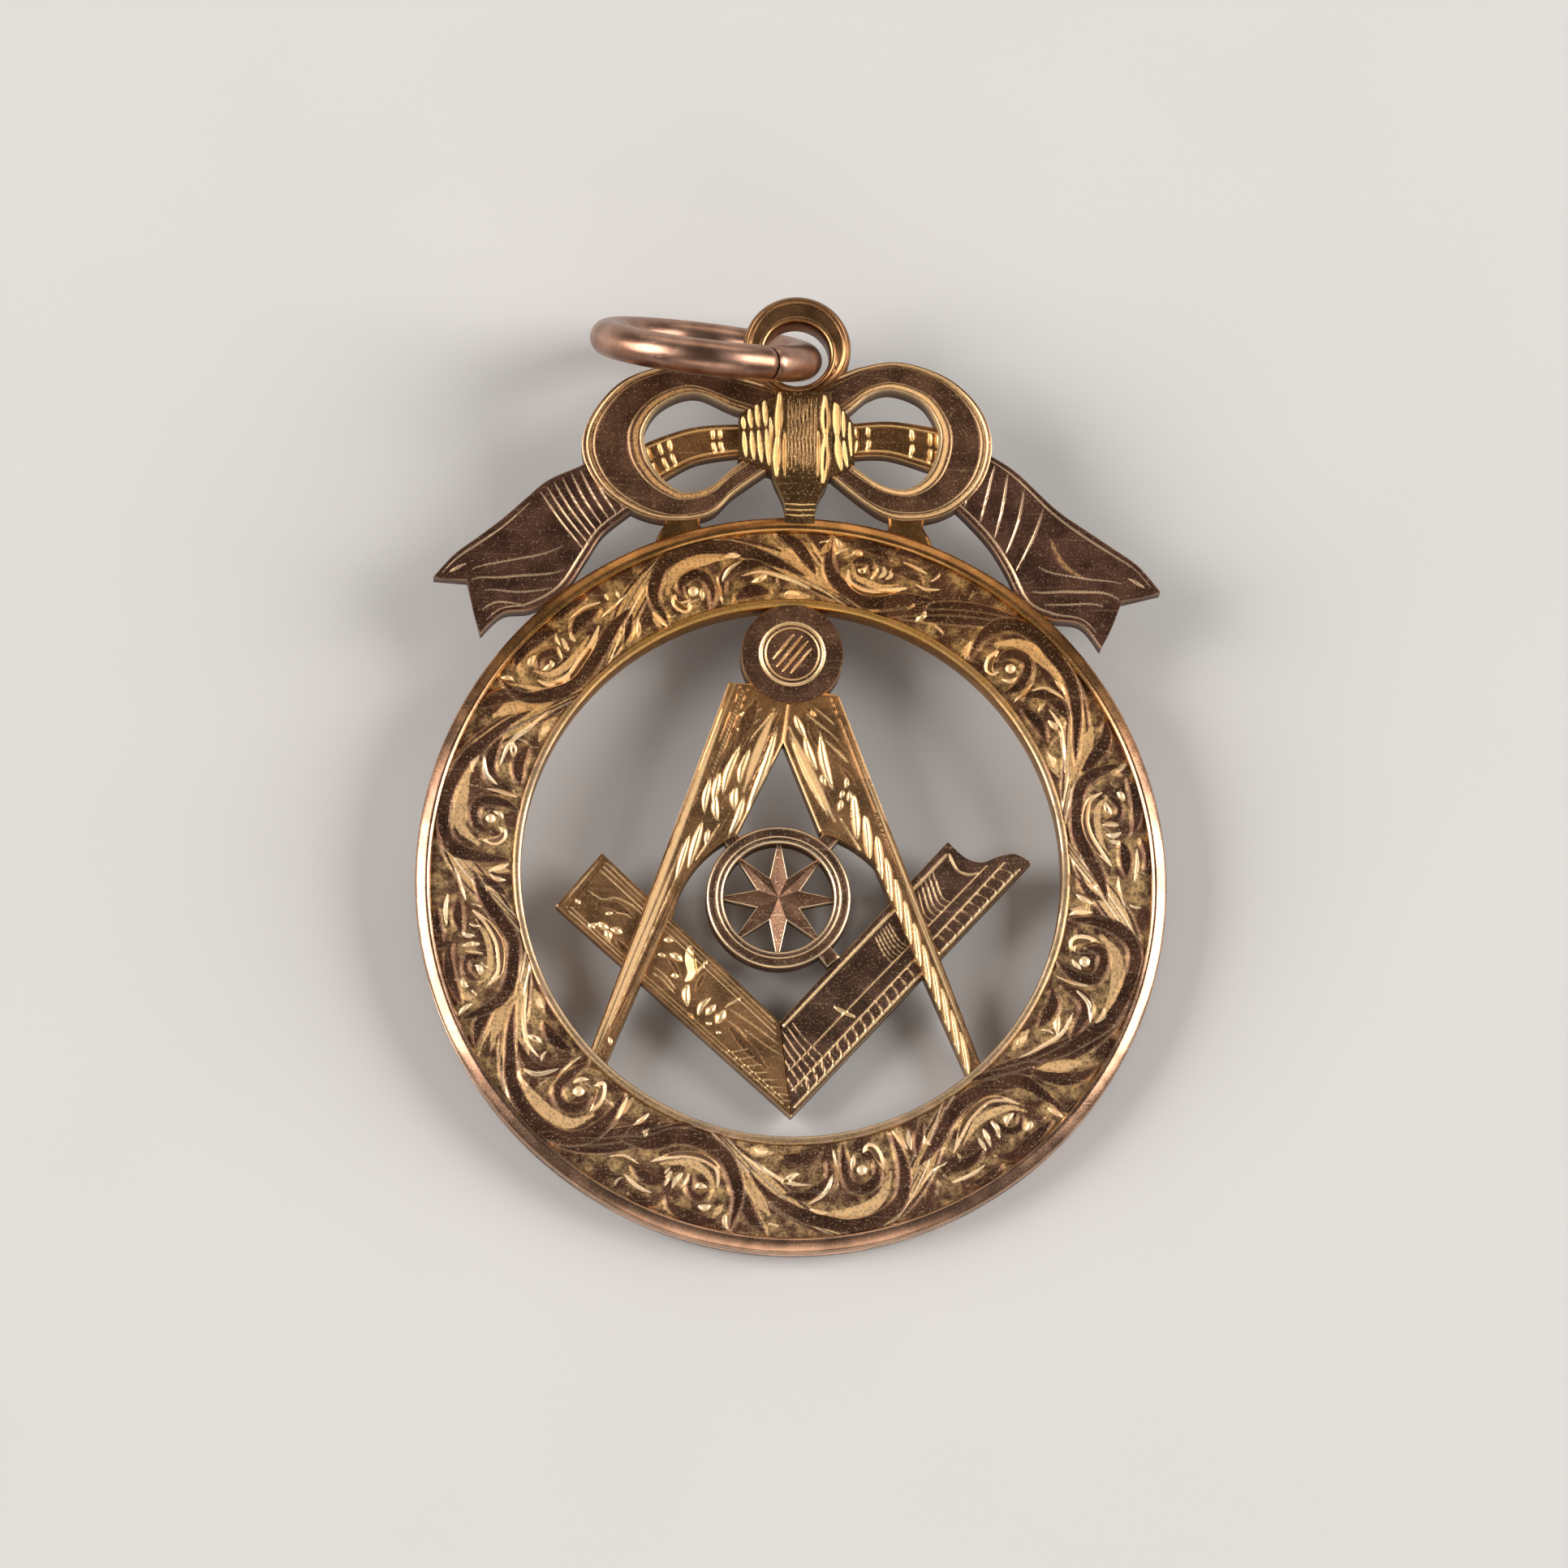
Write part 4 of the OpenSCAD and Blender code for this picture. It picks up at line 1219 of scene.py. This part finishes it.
def square_right_arm():
    """Right arm of the set square: a dark panel by the inner edge and a scale of small cells along the
    outer edge, with lines between, two groups of cross lines and lines that follow the mitre."""
    arm = Arm(RIGHT_ARM_END)
    columns = 84
    plan = arm.plan(rows=290, columns=columns)
    cuts = Engraving(plan)
    for across, width, shine in ((.92, .15, .7), (.45, .11, .55), (.23, .12, .6), (.05, .14, .7)):
        edge = arm.line((.035, across), (.5, across), (.985, across))
        cuts.gouge(edge, width, depth=0.05, hollow=1.6, shine=shine, taper=0.05)
    moulding = arm.line((.03, .92), (.06, .76), (.065, .48))
    cuts.gouge(moulding, 0.13, depth=0.05, hollow=1.6, shine=0.7, taper=0.2)
    cells = 26
    cell_step = .0345
    for k in range(cells):
        along = .06 + cell_step * k
        cell = arm.line((along, .06), (along + .004, .22))
        cuts.gouge(cell, 0.09, depth=0.05, hollow=1.4, shine=0.55, taper=0.05)
    for count, first, step, width, shine, *points in RIGHT_ARM_HATCH:
        for k in range(count):
            line = arm.line(*[(first + step * k + u, v) for u, v in points])
            cuts.gouge(line, width, depth=0.04, hollow=1.0, shine=shine, taper=0.2)
    flick = arm.line((.745, .64), (.72, .46), (.695, .28))
    cuts.gouge(flick, 0.20, depth=0.06, shine=0.8, taper=0.4)
    # The back has more rows here, because its border follows the moulded end
    under = (*range(0, columns, 10), -1)
    return relief_plate("square_right_arm", plan, cuts, SQUARE_T, dark_gold, under=under)


def star_ring():
    """Ring round the small star: flat and dark, with bright bevels and one fine line."""
    outer = STAR_RING_R
    inner = outer - STAR_RING_W
    top = STAR_RING_T
    profile = [
        (inner, STAR_UNDER, 0, 0), (inner, top - 0.09, .3, 0), (inner + 0.05, top - 0.02, .9, 0),
        (inner + 0.09, top, .4, 0), (inner + 0.2, top, 0, 0), (inner + 0.24, top - 0.03, .9, 0),
        (inner + 0.28, top, .1, 0), (inner + 0.4, top + .005, 0, 0), (outer - 0.09, top, .3, 0),
        (outer - 0.05, top - 0.02, .9, 0), (outer, top - 0.09, .3, 0), (outer, STAR_UNDER, 0, 0),
    ]
    return disc("star_ring", STAR_AT, profile, brown_gold, turns=220)


def star():
    """Eight-pointed star. Its outline is straight between a tip and a waist: with a for the angle between
    them, its radius at the angle t from the tip is tip waist sin a / (tip sin t + waist sin(a - t)). The
    face rises evenly from the outline to the middle, which gives each ray two facets."""
    waist = 0.36 * STAR_RAY
    apart = np.pi / 8
    steps = 10
    angle = np.linspace(0, 2 * np.pi, 16 * steps, endpoint=False)
    from_tip = (1 - np.abs(angle / apart % 2 - 1)) * apart
    outline = STAR_RAY * waist * np.sin(apart) / (
        STAR_RAY * np.sin(from_tip) + waist * np.sin(apart - from_tip)
    )
    low = 0.58
    high = 0.88
    # Columns: share of the outline's radius, height, bright
    face = [(s, low + (high - low) * (1 - s), 0.9 if s > 0.93 else 0.05) for s in np.linspace(1, 0, 14)]
    share, height, bright = around([(0.0, STAR_UNDER, 0), (1.0, STAR_UNDER, 0)] + face, len(angle))
    radius = outline[:, None] * share
    turned = (angle + np.pi / 2)[:, None]
    plan = STAR_AT + np.stack([radius * np.cos(turned), radius * np.sin(turned)], -1)
    piece = shell("star", np.dstack([plan, height]), brown_gold, bright, closed=True)
    return plate_piece(weld(piece, sharp=math.radians(12)))


def star_spurs():
    """Three short bars that hold the star's ring to the compasses and the square."""
    half_width = 0.28
    for name, degrees in (("star_spur_right", 51), ("star_spur_left", 129), ("star_spur_low", 311)):
        out = heading(degrees)
        side = leftward(out) * half_width
        near = STAR_AT + (STAR_RING_R - 0.18) * out
        far = STAR_AT + (STAR_RING_R + 0.45) * out
        plan = Ribbon([near - side, far - side], [near + side, far + side]).grid(
            spread(6, .1), spread(6, .12)
        )
        relief_plate(name, plan, Engraving(plan), SPUR_T, brown_gold, base=STAR_UNDER)


# Sections of the bow's loops, inner ribbons and tails. Columns: first x, first y, second x, second y
LEFT_LOOP = [
    [-0.60, 18.30, -0.90, 17.10], [-2.20, 18.75, -2.30, 17.50], [-4.30, 19.12, -3.70, 18.05],
    [-6.25, 18.55, -4.90, 17.60], [-7.45, 17.20, -5.52, 16.65], [-7.78, 15.85, -5.40, 15.65],
    [-7.15, 14.50, -4.95, 14.95], [-5.90, 13.62, -4.50, 14.55], [-4.60, 13.30, -3.95, 14.34],
    [-3.15, 13.52, -3.10, 14.60], [-2.25, 14.35, -2.30, 15.30], [-0.90, 15.35, -0.90, 16.40],
]
RIGHT_LOOP = [
    [0.60, 18.40, 0.90, 17.00], [1.50, 18.88, 1.80, 17.45], [2.50, 19.25, 2.60, 18.12],
    [3.80, 19.41, 3.45, 18.34], [5.45, 18.87, 4.52, 17.92], [6.60, 17.80, 5.08, 17.00],
    [7.08, 16.45, 5.10, 16.15], [6.75, 15.00, 4.70, 15.15], [5.75, 13.95, 3.95, 14.65],
    [4.50, 13.52, 3.10, 14.78], [3.05, 13.70, 2.15, 15.40], [1.00, 15.25, 0.90, 16.40],
]
LEFT_INNER_RIBBON = [
    [-0.90, 17.00, -0.90, 15.95], [-2.60, 16.98, -2.40, 15.82], [-3.87, 16.82, -3.65, 15.56],
    [-5.13, 16.38, -4.58, 15.04], [-5.95, 15.95, -5.20, 14.60],
]
RIGHT_INNER_RIBBON = [
    [0.90, 17.05, 0.90, 15.85], [1.90, 17.12, 1.90, 15.88], [3.40, 17.24, 3.30, 15.92],
    [4.95, 17.05, 4.85, 15.48], [5.80, 16.80, 5.55, 15.20],
]
LEFT_TAIL = [
    [-6.90, 15.90, -5.30, 14.20], [-7.75, 15.32, -5.98, 13.64], [-8.98, 14.72, -6.95, 12.80],
    [-9.85, 13.95, -7.55, 11.85], [-10.64, 13.22, -8.35, 10.60], [-11.50, 12.52, -9.50, 9.90],
    [-12.31, 11.88, -10.54, 9.72], [-13.06, 11.02, -11.33, 8.95],
]
RIGHT_TAIL = [
    [6.40, 16.30, 5.20, 14.45], [7.15, 15.95, 5.86, 13.95], [8.05, 15.35, 6.95, 12.80],
    [9.40, 14.08, 7.65, 11.70], [10.40, 13.38, 8.30, 10.40], [11.50, 12.65, 9.25, 9.95],
    [12.45, 11.98, 10.35, 9.78], [13.24, 11.06, 11.09, 8.90],
]


def ribbon(rows, steps=12):
    """Ribbon through sections: both edges are smooth curves through the sections' ends."""
    rows = np.asarray(rows, float)
    return Ribbon(smooth(rows[:, :2], steps), smooth(rows[:, 2:], steps))


# Lines along a loop's ribbon. Columns: share across, width in mm, bright
LOOP_LINES = [(.08, .10, .8), (.19, .07, .5), (.74, .08, .5), (.95, .10, .6)]
# Golden strips along it. Columns: share across, width in mm
LOOP_STRIPS = [(.13, .17), (.85, .30)]


def bow_loop(name, rows, shine_and_painted_highlight):
    """Loop of the bow: a dark ribbon with a golden strip between two bright lines along each edge."""
    strip = ribbon(rows)
    plan = strip.grid(spread(430, 0.002), spread(46, 0.04))
    cuts = Engraving(plan)
    for across, width, shine in LOOP_LINES:
        cuts.gouge(strip.lengthwise(across, 90), width, depth=0.04, shine=shine, taper=0.05)
    # The golden strips are as bright as the given shine: partly the strip's own gold, and on the right loop a
    # painted highlight as well
    for across, width in LOOP_STRIPS:
        cuts.sink(strip.lengthwise(across, 90), width, depth=0.02, shine=shine_and_painted_highlight)
    return relief_plate(name, plan, cuts, LOOP_T, rose_flat)


def bow_ribbon(name, rows, bars):
    """Ribbon across the inside of a loop: a line along each edge and cross bars in two halves, at the
    shares along that bars gives."""
    strip = ribbon(rows)
    plan = strip.grid(spread(150, 0.006), spread(40, 0.04))
    cuts = Engraving(plan)
    for across in (.13, .87):
        line = strip.lengthwise(across, 40)
        cuts.gouge(line, 0.12, depth=0.05, hollow=1.0, shine=0.6, taper=0.05)
    for along in bars:
        upper = strip.line((along, .14), (along + .006, .34), (along + .01, .46), steps=10)
        lower = strip.line((along + .01, .52), (along + .012, .7), (along, .88), steps=10)
        cuts.gouge(upper, 0.19, depth=0.07, taper=0.35)
        cuts.gouge(lower, 0.19, depth=0.07, taper=0.35)
    return relief_plate(name, plan, cuts, INNER_RIBBON_T, ribbon_gold)


def bow_tail(name, rows, notch, chart):
    """Tail of the bow: a ribbon whose end is cut to a swallowtail. A row across ends earlier the nearer
    it is to the cut's share of the width, by up to the cut's depth."""
    strip = ribbon(rows)
    centre, depth = notch
    across = np.unique(np.append(spread(72, 0.02), centre))
    middle = int(np.searchsorted(across, centre))
    long_way = float(np.hypot(*np.diff(strip.first, axis=0).T).sum())
    short = depth / long_way * np.interp(across, [0, centre, 1], [0, 1, 0])
    along = spread(300, 0.004)
    plan = strip.at(along[:, None] * (1 - short)[None, :], across[None, :])
    cuts = Engraving(plan)
    engrave_chart(cuts, chart, strip.at, 10)
    return relief_plate(name, plan, cuts, TAIL_T, tail_rose, under=(0, middle, -1))


# Cuts on the tails. Columns: kind, width in mm, then (along, across) points
LEFT_TAIL_CUTS = (
    [("line", 0.11, (.06 + .036 * k, .06), (.10 + .036 * k, .5), (.125 + .036 * k, .93)) for k in range(9)]
    + [("line", 0.12, (.02, .92), (.3, .92), (.6, .93), (.93, .94))]
    + [("line", 0.10, (.40, .08), (.7, .07), (.95, .06))]
    + [
        ("line", 0.12, (.52, .86), (.66, .62), (.80, .48), (.88, .40)),
        ("line", 0.10, (.60, .90), (.74, .74), (.86, .62)),
        ("line", 0.10, (.46, .70), (.60, .48), (.74, .34), (.84, .30)),
        ("line", 0.10, (.74, .92), (.84, .84), (.92, .80)),
        ("drop", 0.16, (.84, .20), (.93, .12)),
    ]
)
RIGHT_TAIL_CUTS = (
    [("line", 0.12, (.10 + .075 * k, .10), (.135 + .075 * k, .5), (.16 + .075 * k, .9)) for k in range(5)]
    + [("line", 0.12, (.02, .92), (.3, .92), (.6, .93), (.93, .94))]
    + [("line", 0.10, (.05, .07), (.5, .07), (.95, .06))]
    + [
        ("line", 0.14, (.56, .84), (.68, .66), (.80, .54), (.90, .46)),
        ("dark", 0.30, (.48, .30), (.60, .42), (.70, .44)),
        ("line", 0.10, (.64, .88), (.76, .76), (.88, .66)),
        ("line", 0.10, (.52, .62), (.64, .50), (.78, .38), (.86, .30)),
        ("drop", 0.16, (.86, .20), (.94, .12)),
    ]
)


# Necks of the loops beside the strap, gathered in pleats: their sections, as on the loops, then the
# pleats. Columns of a pleat: width in mm, then its points
LEFT_NECK = [[-2.12, 15.62, -2.12, 17.30], [-1.60, 15.42, -1.60, 17.62], [-0.80, 15.10, -0.80, 18.10]]
LEFT_PLEATS = [
    (0.20, (-1.98, 17.2), (-1.96, 17.0), (-1.92, 16.74)),
    (0.20, (-1.94, 16.66), (-1.90, 16.2), (-1.84, 15.7)),
    (0.22, (-1.74, 17.5), (-1.71, 17.1), (-1.66, 16.78)),
    (0.22, (-1.66, 16.68), (-1.62, 16.2), (-1.55, 15.6)),
    (0.22, (-1.48, 17.7), (-1.44, 17.2), (-1.40, 16.82)),
    (0.22, (-1.40, 16.72), (-1.35, 16.2), (-1.27, 15.5)),
    (0.22, (-1.22, 17.9), (-1.18, 17.4), (-1.14, 16.86)),
    (0.22, (-1.12, 16.76), (-1.07, 16.2), (-1.0, 15.4)),
    (0.20, (-0.98, 17.2), (-0.92, 16.4), (-0.86, 15.3)),
]
RIGHT_NECK = [[0.80, 18.05, 0.80, 15.00], [1.50, 17.75, 1.50, 15.10], [2.06, 17.02, 2.10, 15.52]]
RIGHT_PLEATS = [
    (0.34, (1.40, 18.0), (1.43, 17.2), (1.46, 16.4)),
    (0.30, (1.46, 16.6), (1.50, 16.0), (1.62, 15.3)),
    (0.16, (1.66, 17.5), (1.68, 17.0), (1.70, 16.5)),
    (0.18, (1.70, 16.4), (1.74, 15.9), (1.84, 15.4)),
    (0.14, (1.90, 17.1), (1.92, 16.5), (1.98, 15.8)),
]


def engrave_pleat(cuts, line, width):
    """Bright pleat of the ribbon: a pale satin strip with a round channel in it, and beside the channel
    of a wide one a dark crease."""
    cuts.sink(line, width + 0.09, depth=0.0, shine=0.75)
    cuts.gouge(line, 0.8 * width, depth=0.045, taper=0.3)
    if width > 0.2:
        cuts.pit(line[2:-4] + [0.3 * width, 0.0], 0.07, 0.03)


def bow_pleats(name, rows, pleats):
    """Neck of a loop: dark gold with pale pleats."""
    plan = ribbon(rows, 8).grid(spread(56, 0.03), spread(110, 0.015))
    cuts = Engraving(plan)
    for width, *points in pleats:
        engrave_pleat(cuts, smooth(points), width)
    return relief_plate(name, plan, cuts, LOOP_T + 0.06, knot_gold, rim_shine=0.2)


# Sections of the knot's strap from top to foot, as on the loops
KNOT = [
    [-0.80, 18.2, 1.22, 18.2], [-0.86, 17.2, 1.24, 17.2], [-0.92, 16.2, 1.26, 16.2],
    [-0.94, 15.4, 1.24, 15.4], [-0.80, 14.85, 1.10, 14.75], [-0.58, 14.4, 0.86, 14.3],
    [-0.40, 13.85, 0.70, 13.75], [-0.44, 13.2, 0.70, 13.2],
]
# Its pleats. Columns: width in mm, then points
KNOT_PLEATS = [
    (0.28, (-0.66, 18.1), (-0.68, 17.2), (-0.72, 16.3)),
    (0.30, (-0.72, 16.5), (-0.74, 15.8), (-0.74, 15.0)),
    (0.16, (-0.46, 16.6), (-0.46, 15.8), (-0.44, 15.0)),
    (0.36, (1.00, 18.0), (1.02, 17.2), (1.04, 16.4)),
    (0.36, (1.04, 16.6), (1.02, 15.6), (0.96, 14.8)),
    (0.17, (0.76, 16.7), (0.78, 15.8), (0.76, 15.0)),
]


def knot():
    """Knot of the bow: a crowned strap over the middle, narrowing to a foot. It has pale pleats along
    each side, fine lines and dark slots down its middle and cross lines on its foot. At x from its
    middle the crown is 1 - (x / half its width)^2 high."""
    plan = ribbon(KNOT).grid(spread(170, 0.006), spread(90, 0.02))
    cuts = Engraving(plan)
    crown = 0.10
    half_width = 1.1
    cuts.rise += crown * (1 - ((plan[..., 0].ravel() - KNOT_X) / half_width) ** 2)
    for width, *points in KNOT_PLEATS:
        engrave_pleat(cuts, smooth(points), width)
    strap_lines = 8
    line_step = 0.14
    for k in range(strap_lines):
        x = -0.34 + line_step * k
        line = np.array([[x, 17.95 - 0.07 * (k % 3)], [x + .01, 15.1 + 0.09 * (k % 4)]])
        slot = np.array([[x + .07, 17.9], [x + .08, 15.2 - 0.1 * (k % 2)]])
        cuts.gouge(line, 0.07, depth=0.02, shine=0.35, taper=0.3)
        cuts.pit(slot, 0.055)
    foot_lines = 3
    foot_step = 0.2
    for k in range(foot_lines):
        level = 13.95 - foot_step * k
        line = np.array([[-0.42, level], [0.14, level - 0.04], [0.70, level]])
        cuts.gouge(line, 0.08, depth=0.04, taper=0.2)
    return relief_plate("knot", plan, cuts, KNOT_T, knot_gold)


def lug(name, x):
    """Short waisted bridge that joins a loop to the ring. Its middle is at x on the ring's outer circle."""
    middle = np.array([x, math.sqrt(RING_R**2 - x * x)])
    side = smooth([[-1.0, -0.42], [-0.82, 0.02], [-0.62, 0.36], [-0.68, 0.85]], 6)
    plan = Ribbon(middle + side, middle + side * [-1, 1]).grid(spread(24, .03), spread(16, .06))
    return relief_plate(name, plan, Engraving(plan), LUG_T, lip_gold, bevel=0.08, rim_shine=0.1)


# Profile of the eye's collar. Columns: distance out from the hole's edge, height, bright
COLLAR_PROFILE = [
    [0.02, 0.0, 0], [0.0, 0.04, 0], [0.0, 1.2, 0], [0.03, 1.29, .2], [0.08, 1.335, .5],
    [0.13, 1.345, .2], [0.19, 1.33, 0], [0.225, 1.28, .1], [0.24, 1.16, 0],
]
# Profile of its sloping rim. Columns: distance in from the outer circle, height, bright
BEVEL_PROFILE = [
    [0.42, 1.14, 0], [0.36, 1.135, 0], [0.33, 1.10, .4], [0.30, 1.12, .1], [0.20, 1.07, 0],
    [0.17, 1.03, .4], [0.14, 1.045, .1], [0.06, 0.97, .2], [0.02, 0.90, .2], [0.0, 0.8, .1],
    [0.0, 0.4, 0], [0.0, 0.15, 0], [0.1, 0.0, 0],
]


def eye():
    """Eye: a sloping rim round a raised collar. The outer circle isn't concentric with the hole: with b
    for the part of the step between their middles that lies along an angle, it is b + sqrt(b^2 - step^2
    + R^2) from the hole's middle there."""
    turns = 260
    angle = np.linspace(0, 360, turns, endpoint=False)
    step = EYE_AT - EYE_HOLE_AT
    along = on_ring(angle, 1.0) @ step
    outer = along + np.sqrt(along**2 - step @ step + EYE_R**2)
    out, collar_height, collar_bright = around(COLLAR_PROFILE, turns)
    inset, bevel_height, bevel_bright = around(BEVEL_PROFILE, turns)
    radius = np.hstack([
        EYE_HOLE_R + out, np.maximum(outer[:, None] - inset, EYE_HOLE_R + 0.25)
    ])
    height = np.hstack([collar_height, bevel_height])
    bright = np.hstack([collar_bright, bevel_bright])
    plan = EYE_HOLE_AT + on_ring(angle[:, None], radius)
    return plate_piece(shell("eye", np.dstack([plan, height]), eye_gold, bright, closed=True))


def jump_ring():
    """Round wire bent to a circle, nearly closed, its ends a little rounded. The circle lies in a plane
    that is tipped by the ring's lean and turned about the plate's normal, and passes through the eye."""
    turns = 320
    sides = 40
    start = JUMP_SPLIT + JUMP_GAP / 2
    along = np.linspace(start, start + 2 * math.pi - JUMP_GAP, turns)[:, None]
    about = np.linspace(0, 2 * math.pi, sides, endpoint=False)
    from_end = np.minimum(np.arange(turns), np.arange(turns)[::-1])[:, None]
    wire = WIRE_D / 2 - 0.07 * np.clip(1 - from_end / 3, 0, 1) ** 2
    radius = JUMP_R + wire * np.cos(about)
    local = np.stack([
        radius * np.cos(along) - JUMP_R, radius * np.sin(along), wire * np.sin(about)
    ], -1)
    tip = np.array(Matrix.Rotation(math.pi / 2 + JUMP_LEAN, 3, "X"))
    turn = np.array(Matrix.Rotation(-JUMP_TURN, 3, "Z"))
    loops = local @ (turn @ tip).T + [*WIRE_THROUGH, EYE_T / 2]
    piece = shell("jump_ring_wire", loops, rose_wire)
    return plate_piece(piece, "jump_ring")


def floor():
    """Plain pale floor that the fob lies on."""
    recipe = Recipe("pale_floor")
    place = recipe.node("ShaderNodeTexCoord", output="Object")
    tone = recipe.noise(place, 60.0, 2.0)
    base = recipe.blend(tone, colour(0.51, 0.506, 0.502), colour(0.54, 0.536, 0.532))
    half = 1.5
    corners = [(-half, -half, 0), (half, -half, 0), (half, half, 0), (-half, half, 0)]
    mesh = bpy.data.meshes.new("floor")
    mesh.from_pydata(corners, [], [(0, 1, 2, 3)])
    mesh.materials.append(recipe.finish({"Base Color": base, "Roughness": 0.8, "Specular IOR Level": 0.1}))
    ground = bpy.data.objects.new("floor", mesh)
    bpy.context.scene.collection.objects.link(ground)


# Studio lights. Columns: name, place in metres, size across and up in metres, power in watts, colour
LIGHTS = [
    ("left_softbox", (-0.84, 0.0, 0.48), (0.60, 0.80), 12.8, (1.0, 0.95, 0.91)),
    ("right_softbox", (0.84, 0.04, 0.48), (0.60, 0.80), 12.8, (1.0, 0.96, 0.92)),
    ("far_softbox", (0.04, 0.92, 0.44), (1.00, 0.48), 2.0, (1.0, 0.92, 0.80)),
    ("near_softbox", (0.0, -0.92, 0.44), (1.00, 0.48), 2.6, (1.0, 0.93, 0.86)),
]
LIGHTS_AIM = Vector((0, 0, 0.002))
SKY = colour(0.92, 0.95, 1.0)
SKY_STRENGTH = 0.14


def studio():
    """Soft boxes round the fob and a dim even sky, so that flat gold looks up into the dark and the
    cuts catch the boxes."""
    for name, place, size, power, tint in LIGHTS:
        lamp = bpy.data.lights.new(name, "AREA")
        lamp.shape = "RECTANGLE"
        lamp.size, lamp.size_y = size
        lamp.energy = power
        lamp.color = tint
        box = bpy.data.objects.new(name, lamp)
        box.location = place
        box.rotation_mode = "QUATERNION"
        box.rotation_quaternion = (LIGHTS_AIM - Vector(place)).to_track_quat("-Z", "Y")
        bpy.context.scene.collection.objects.link(box)
    world = bpy.data.worlds.new("studio")
    world.use_nodes = True
    sky = world.node_tree.nodes["Background"]
    sky.inputs["Color"].default_value = SKY
    sky.inputs["Strength"].default_value = SKY_STRENGTH
    bpy.context.scene.world = world


# The camera, as the photograph was taken: what it looks at, its lean from straight above, the way it
# stands round the fob, its roll and its distance. FOCAL and PHOTO are in pixels of the photograph, and
# SENSOR is in millimetres.
CAMERA_AIM = np.array([-0.267, -0.377, 1.5]) * MM
CAMERA_LEAN = math.radians(18.26)
CAMERA_WAY = math.radians(-94.04)
CAMERA_ROLL = math.radians(0.544)
CAMERA_DISTANCE = 0.300
FOCAL = 10250
PHOTO = 1932
SENSOR = 36.0


def photo_camera():
    """Camera at the photograph's angle, its back axis given by the lean and the way round."""
    back = np.array([
        math.sin(CAMERA_LEAN) * math.cos(CAMERA_WAY),
        math.sin(CAMERA_LEAN) * math.sin(CAMERA_WAY),
        math.cos(CAMERA_LEAN),
    ])
    level = np.cross([0, 1, 0], back)
    level /= np.linalg.norm(level)
    upright = np.cross(back, level)
    right = math.cos(CAMERA_ROLL) * level + math.sin(CAMERA_ROLL) * upright
    up = math.cos(CAMERA_ROLL) * upright - math.sin(CAMERA_ROLL) * level
    lens = bpy.data.cameras.new("photo_camera")
    lens.lens = FOCAL / PHOTO * SENSOR
    lens.sensor_width = SENSOR
    lens.clip_start = 0.01
    lens.clip_end = 10.0
    camera = bpy.data.objects.new("photo_camera", lens)
    place = CAMERA_AIM + CAMERA_DISTANCE * back
    camera.matrix_world = Matrix([
        [right[0], up[0], back[0], place[0]],
        [right[1], up[1], back[1], place[1]],
        [right[2], up[2], back[2], place[2]],
        [0, 0, 0, 1],
    ])
    bpy.context.scene.collection.objects.link(camera)
    bpy.context.scene.camera = camera


bpy.context.scene.view_settings.view_transform = "Standard"
photo_camera()
studio()
floor()
ring_frame()
ring_field("ring_field_right", 0, 180)
ring_field("ring_field_left", 180, 360)
left_leg()
right_leg()
compass_head()
square_left_arm()
square_right_arm()
star_ring()
star()
star_spurs()
# The right loop's strips are painted brighter than the left loop's: a painted highlight on that side
bow_loop("bow_left_loop", LEFT_LOOP, 0.32)
bow_loop("bow_right_loop", RIGHT_LOOP, 0.60)
bow_pleats("bow_left_pleats", LEFT_NECK, LEFT_PLEATS)
bow_pleats("bow_right_pleats", RIGHT_NECK, RIGHT_PLEATS)
bow_ribbon("bow_left_ribbon", LEFT_INNER_RIBBON, [.29, .34, .66, .74, .84, .90])
bow_ribbon("bow_right_ribbon", RIGHT_INNER_RIBBON, [.30, .37, .62, .73, .78, .86])
bow_tail("bow_left_tail", LEFT_TAIL, (.36, .9), LEFT_TAIL_CUTS)
bow_tail("bow_right_tail", RIGHT_TAIL, (.44, .8), RIGHT_TAIL_CUTS)
knot()
lug("left_lug", -4.1)
lug("right_lug", 4.0)
eye()
jump_ring()
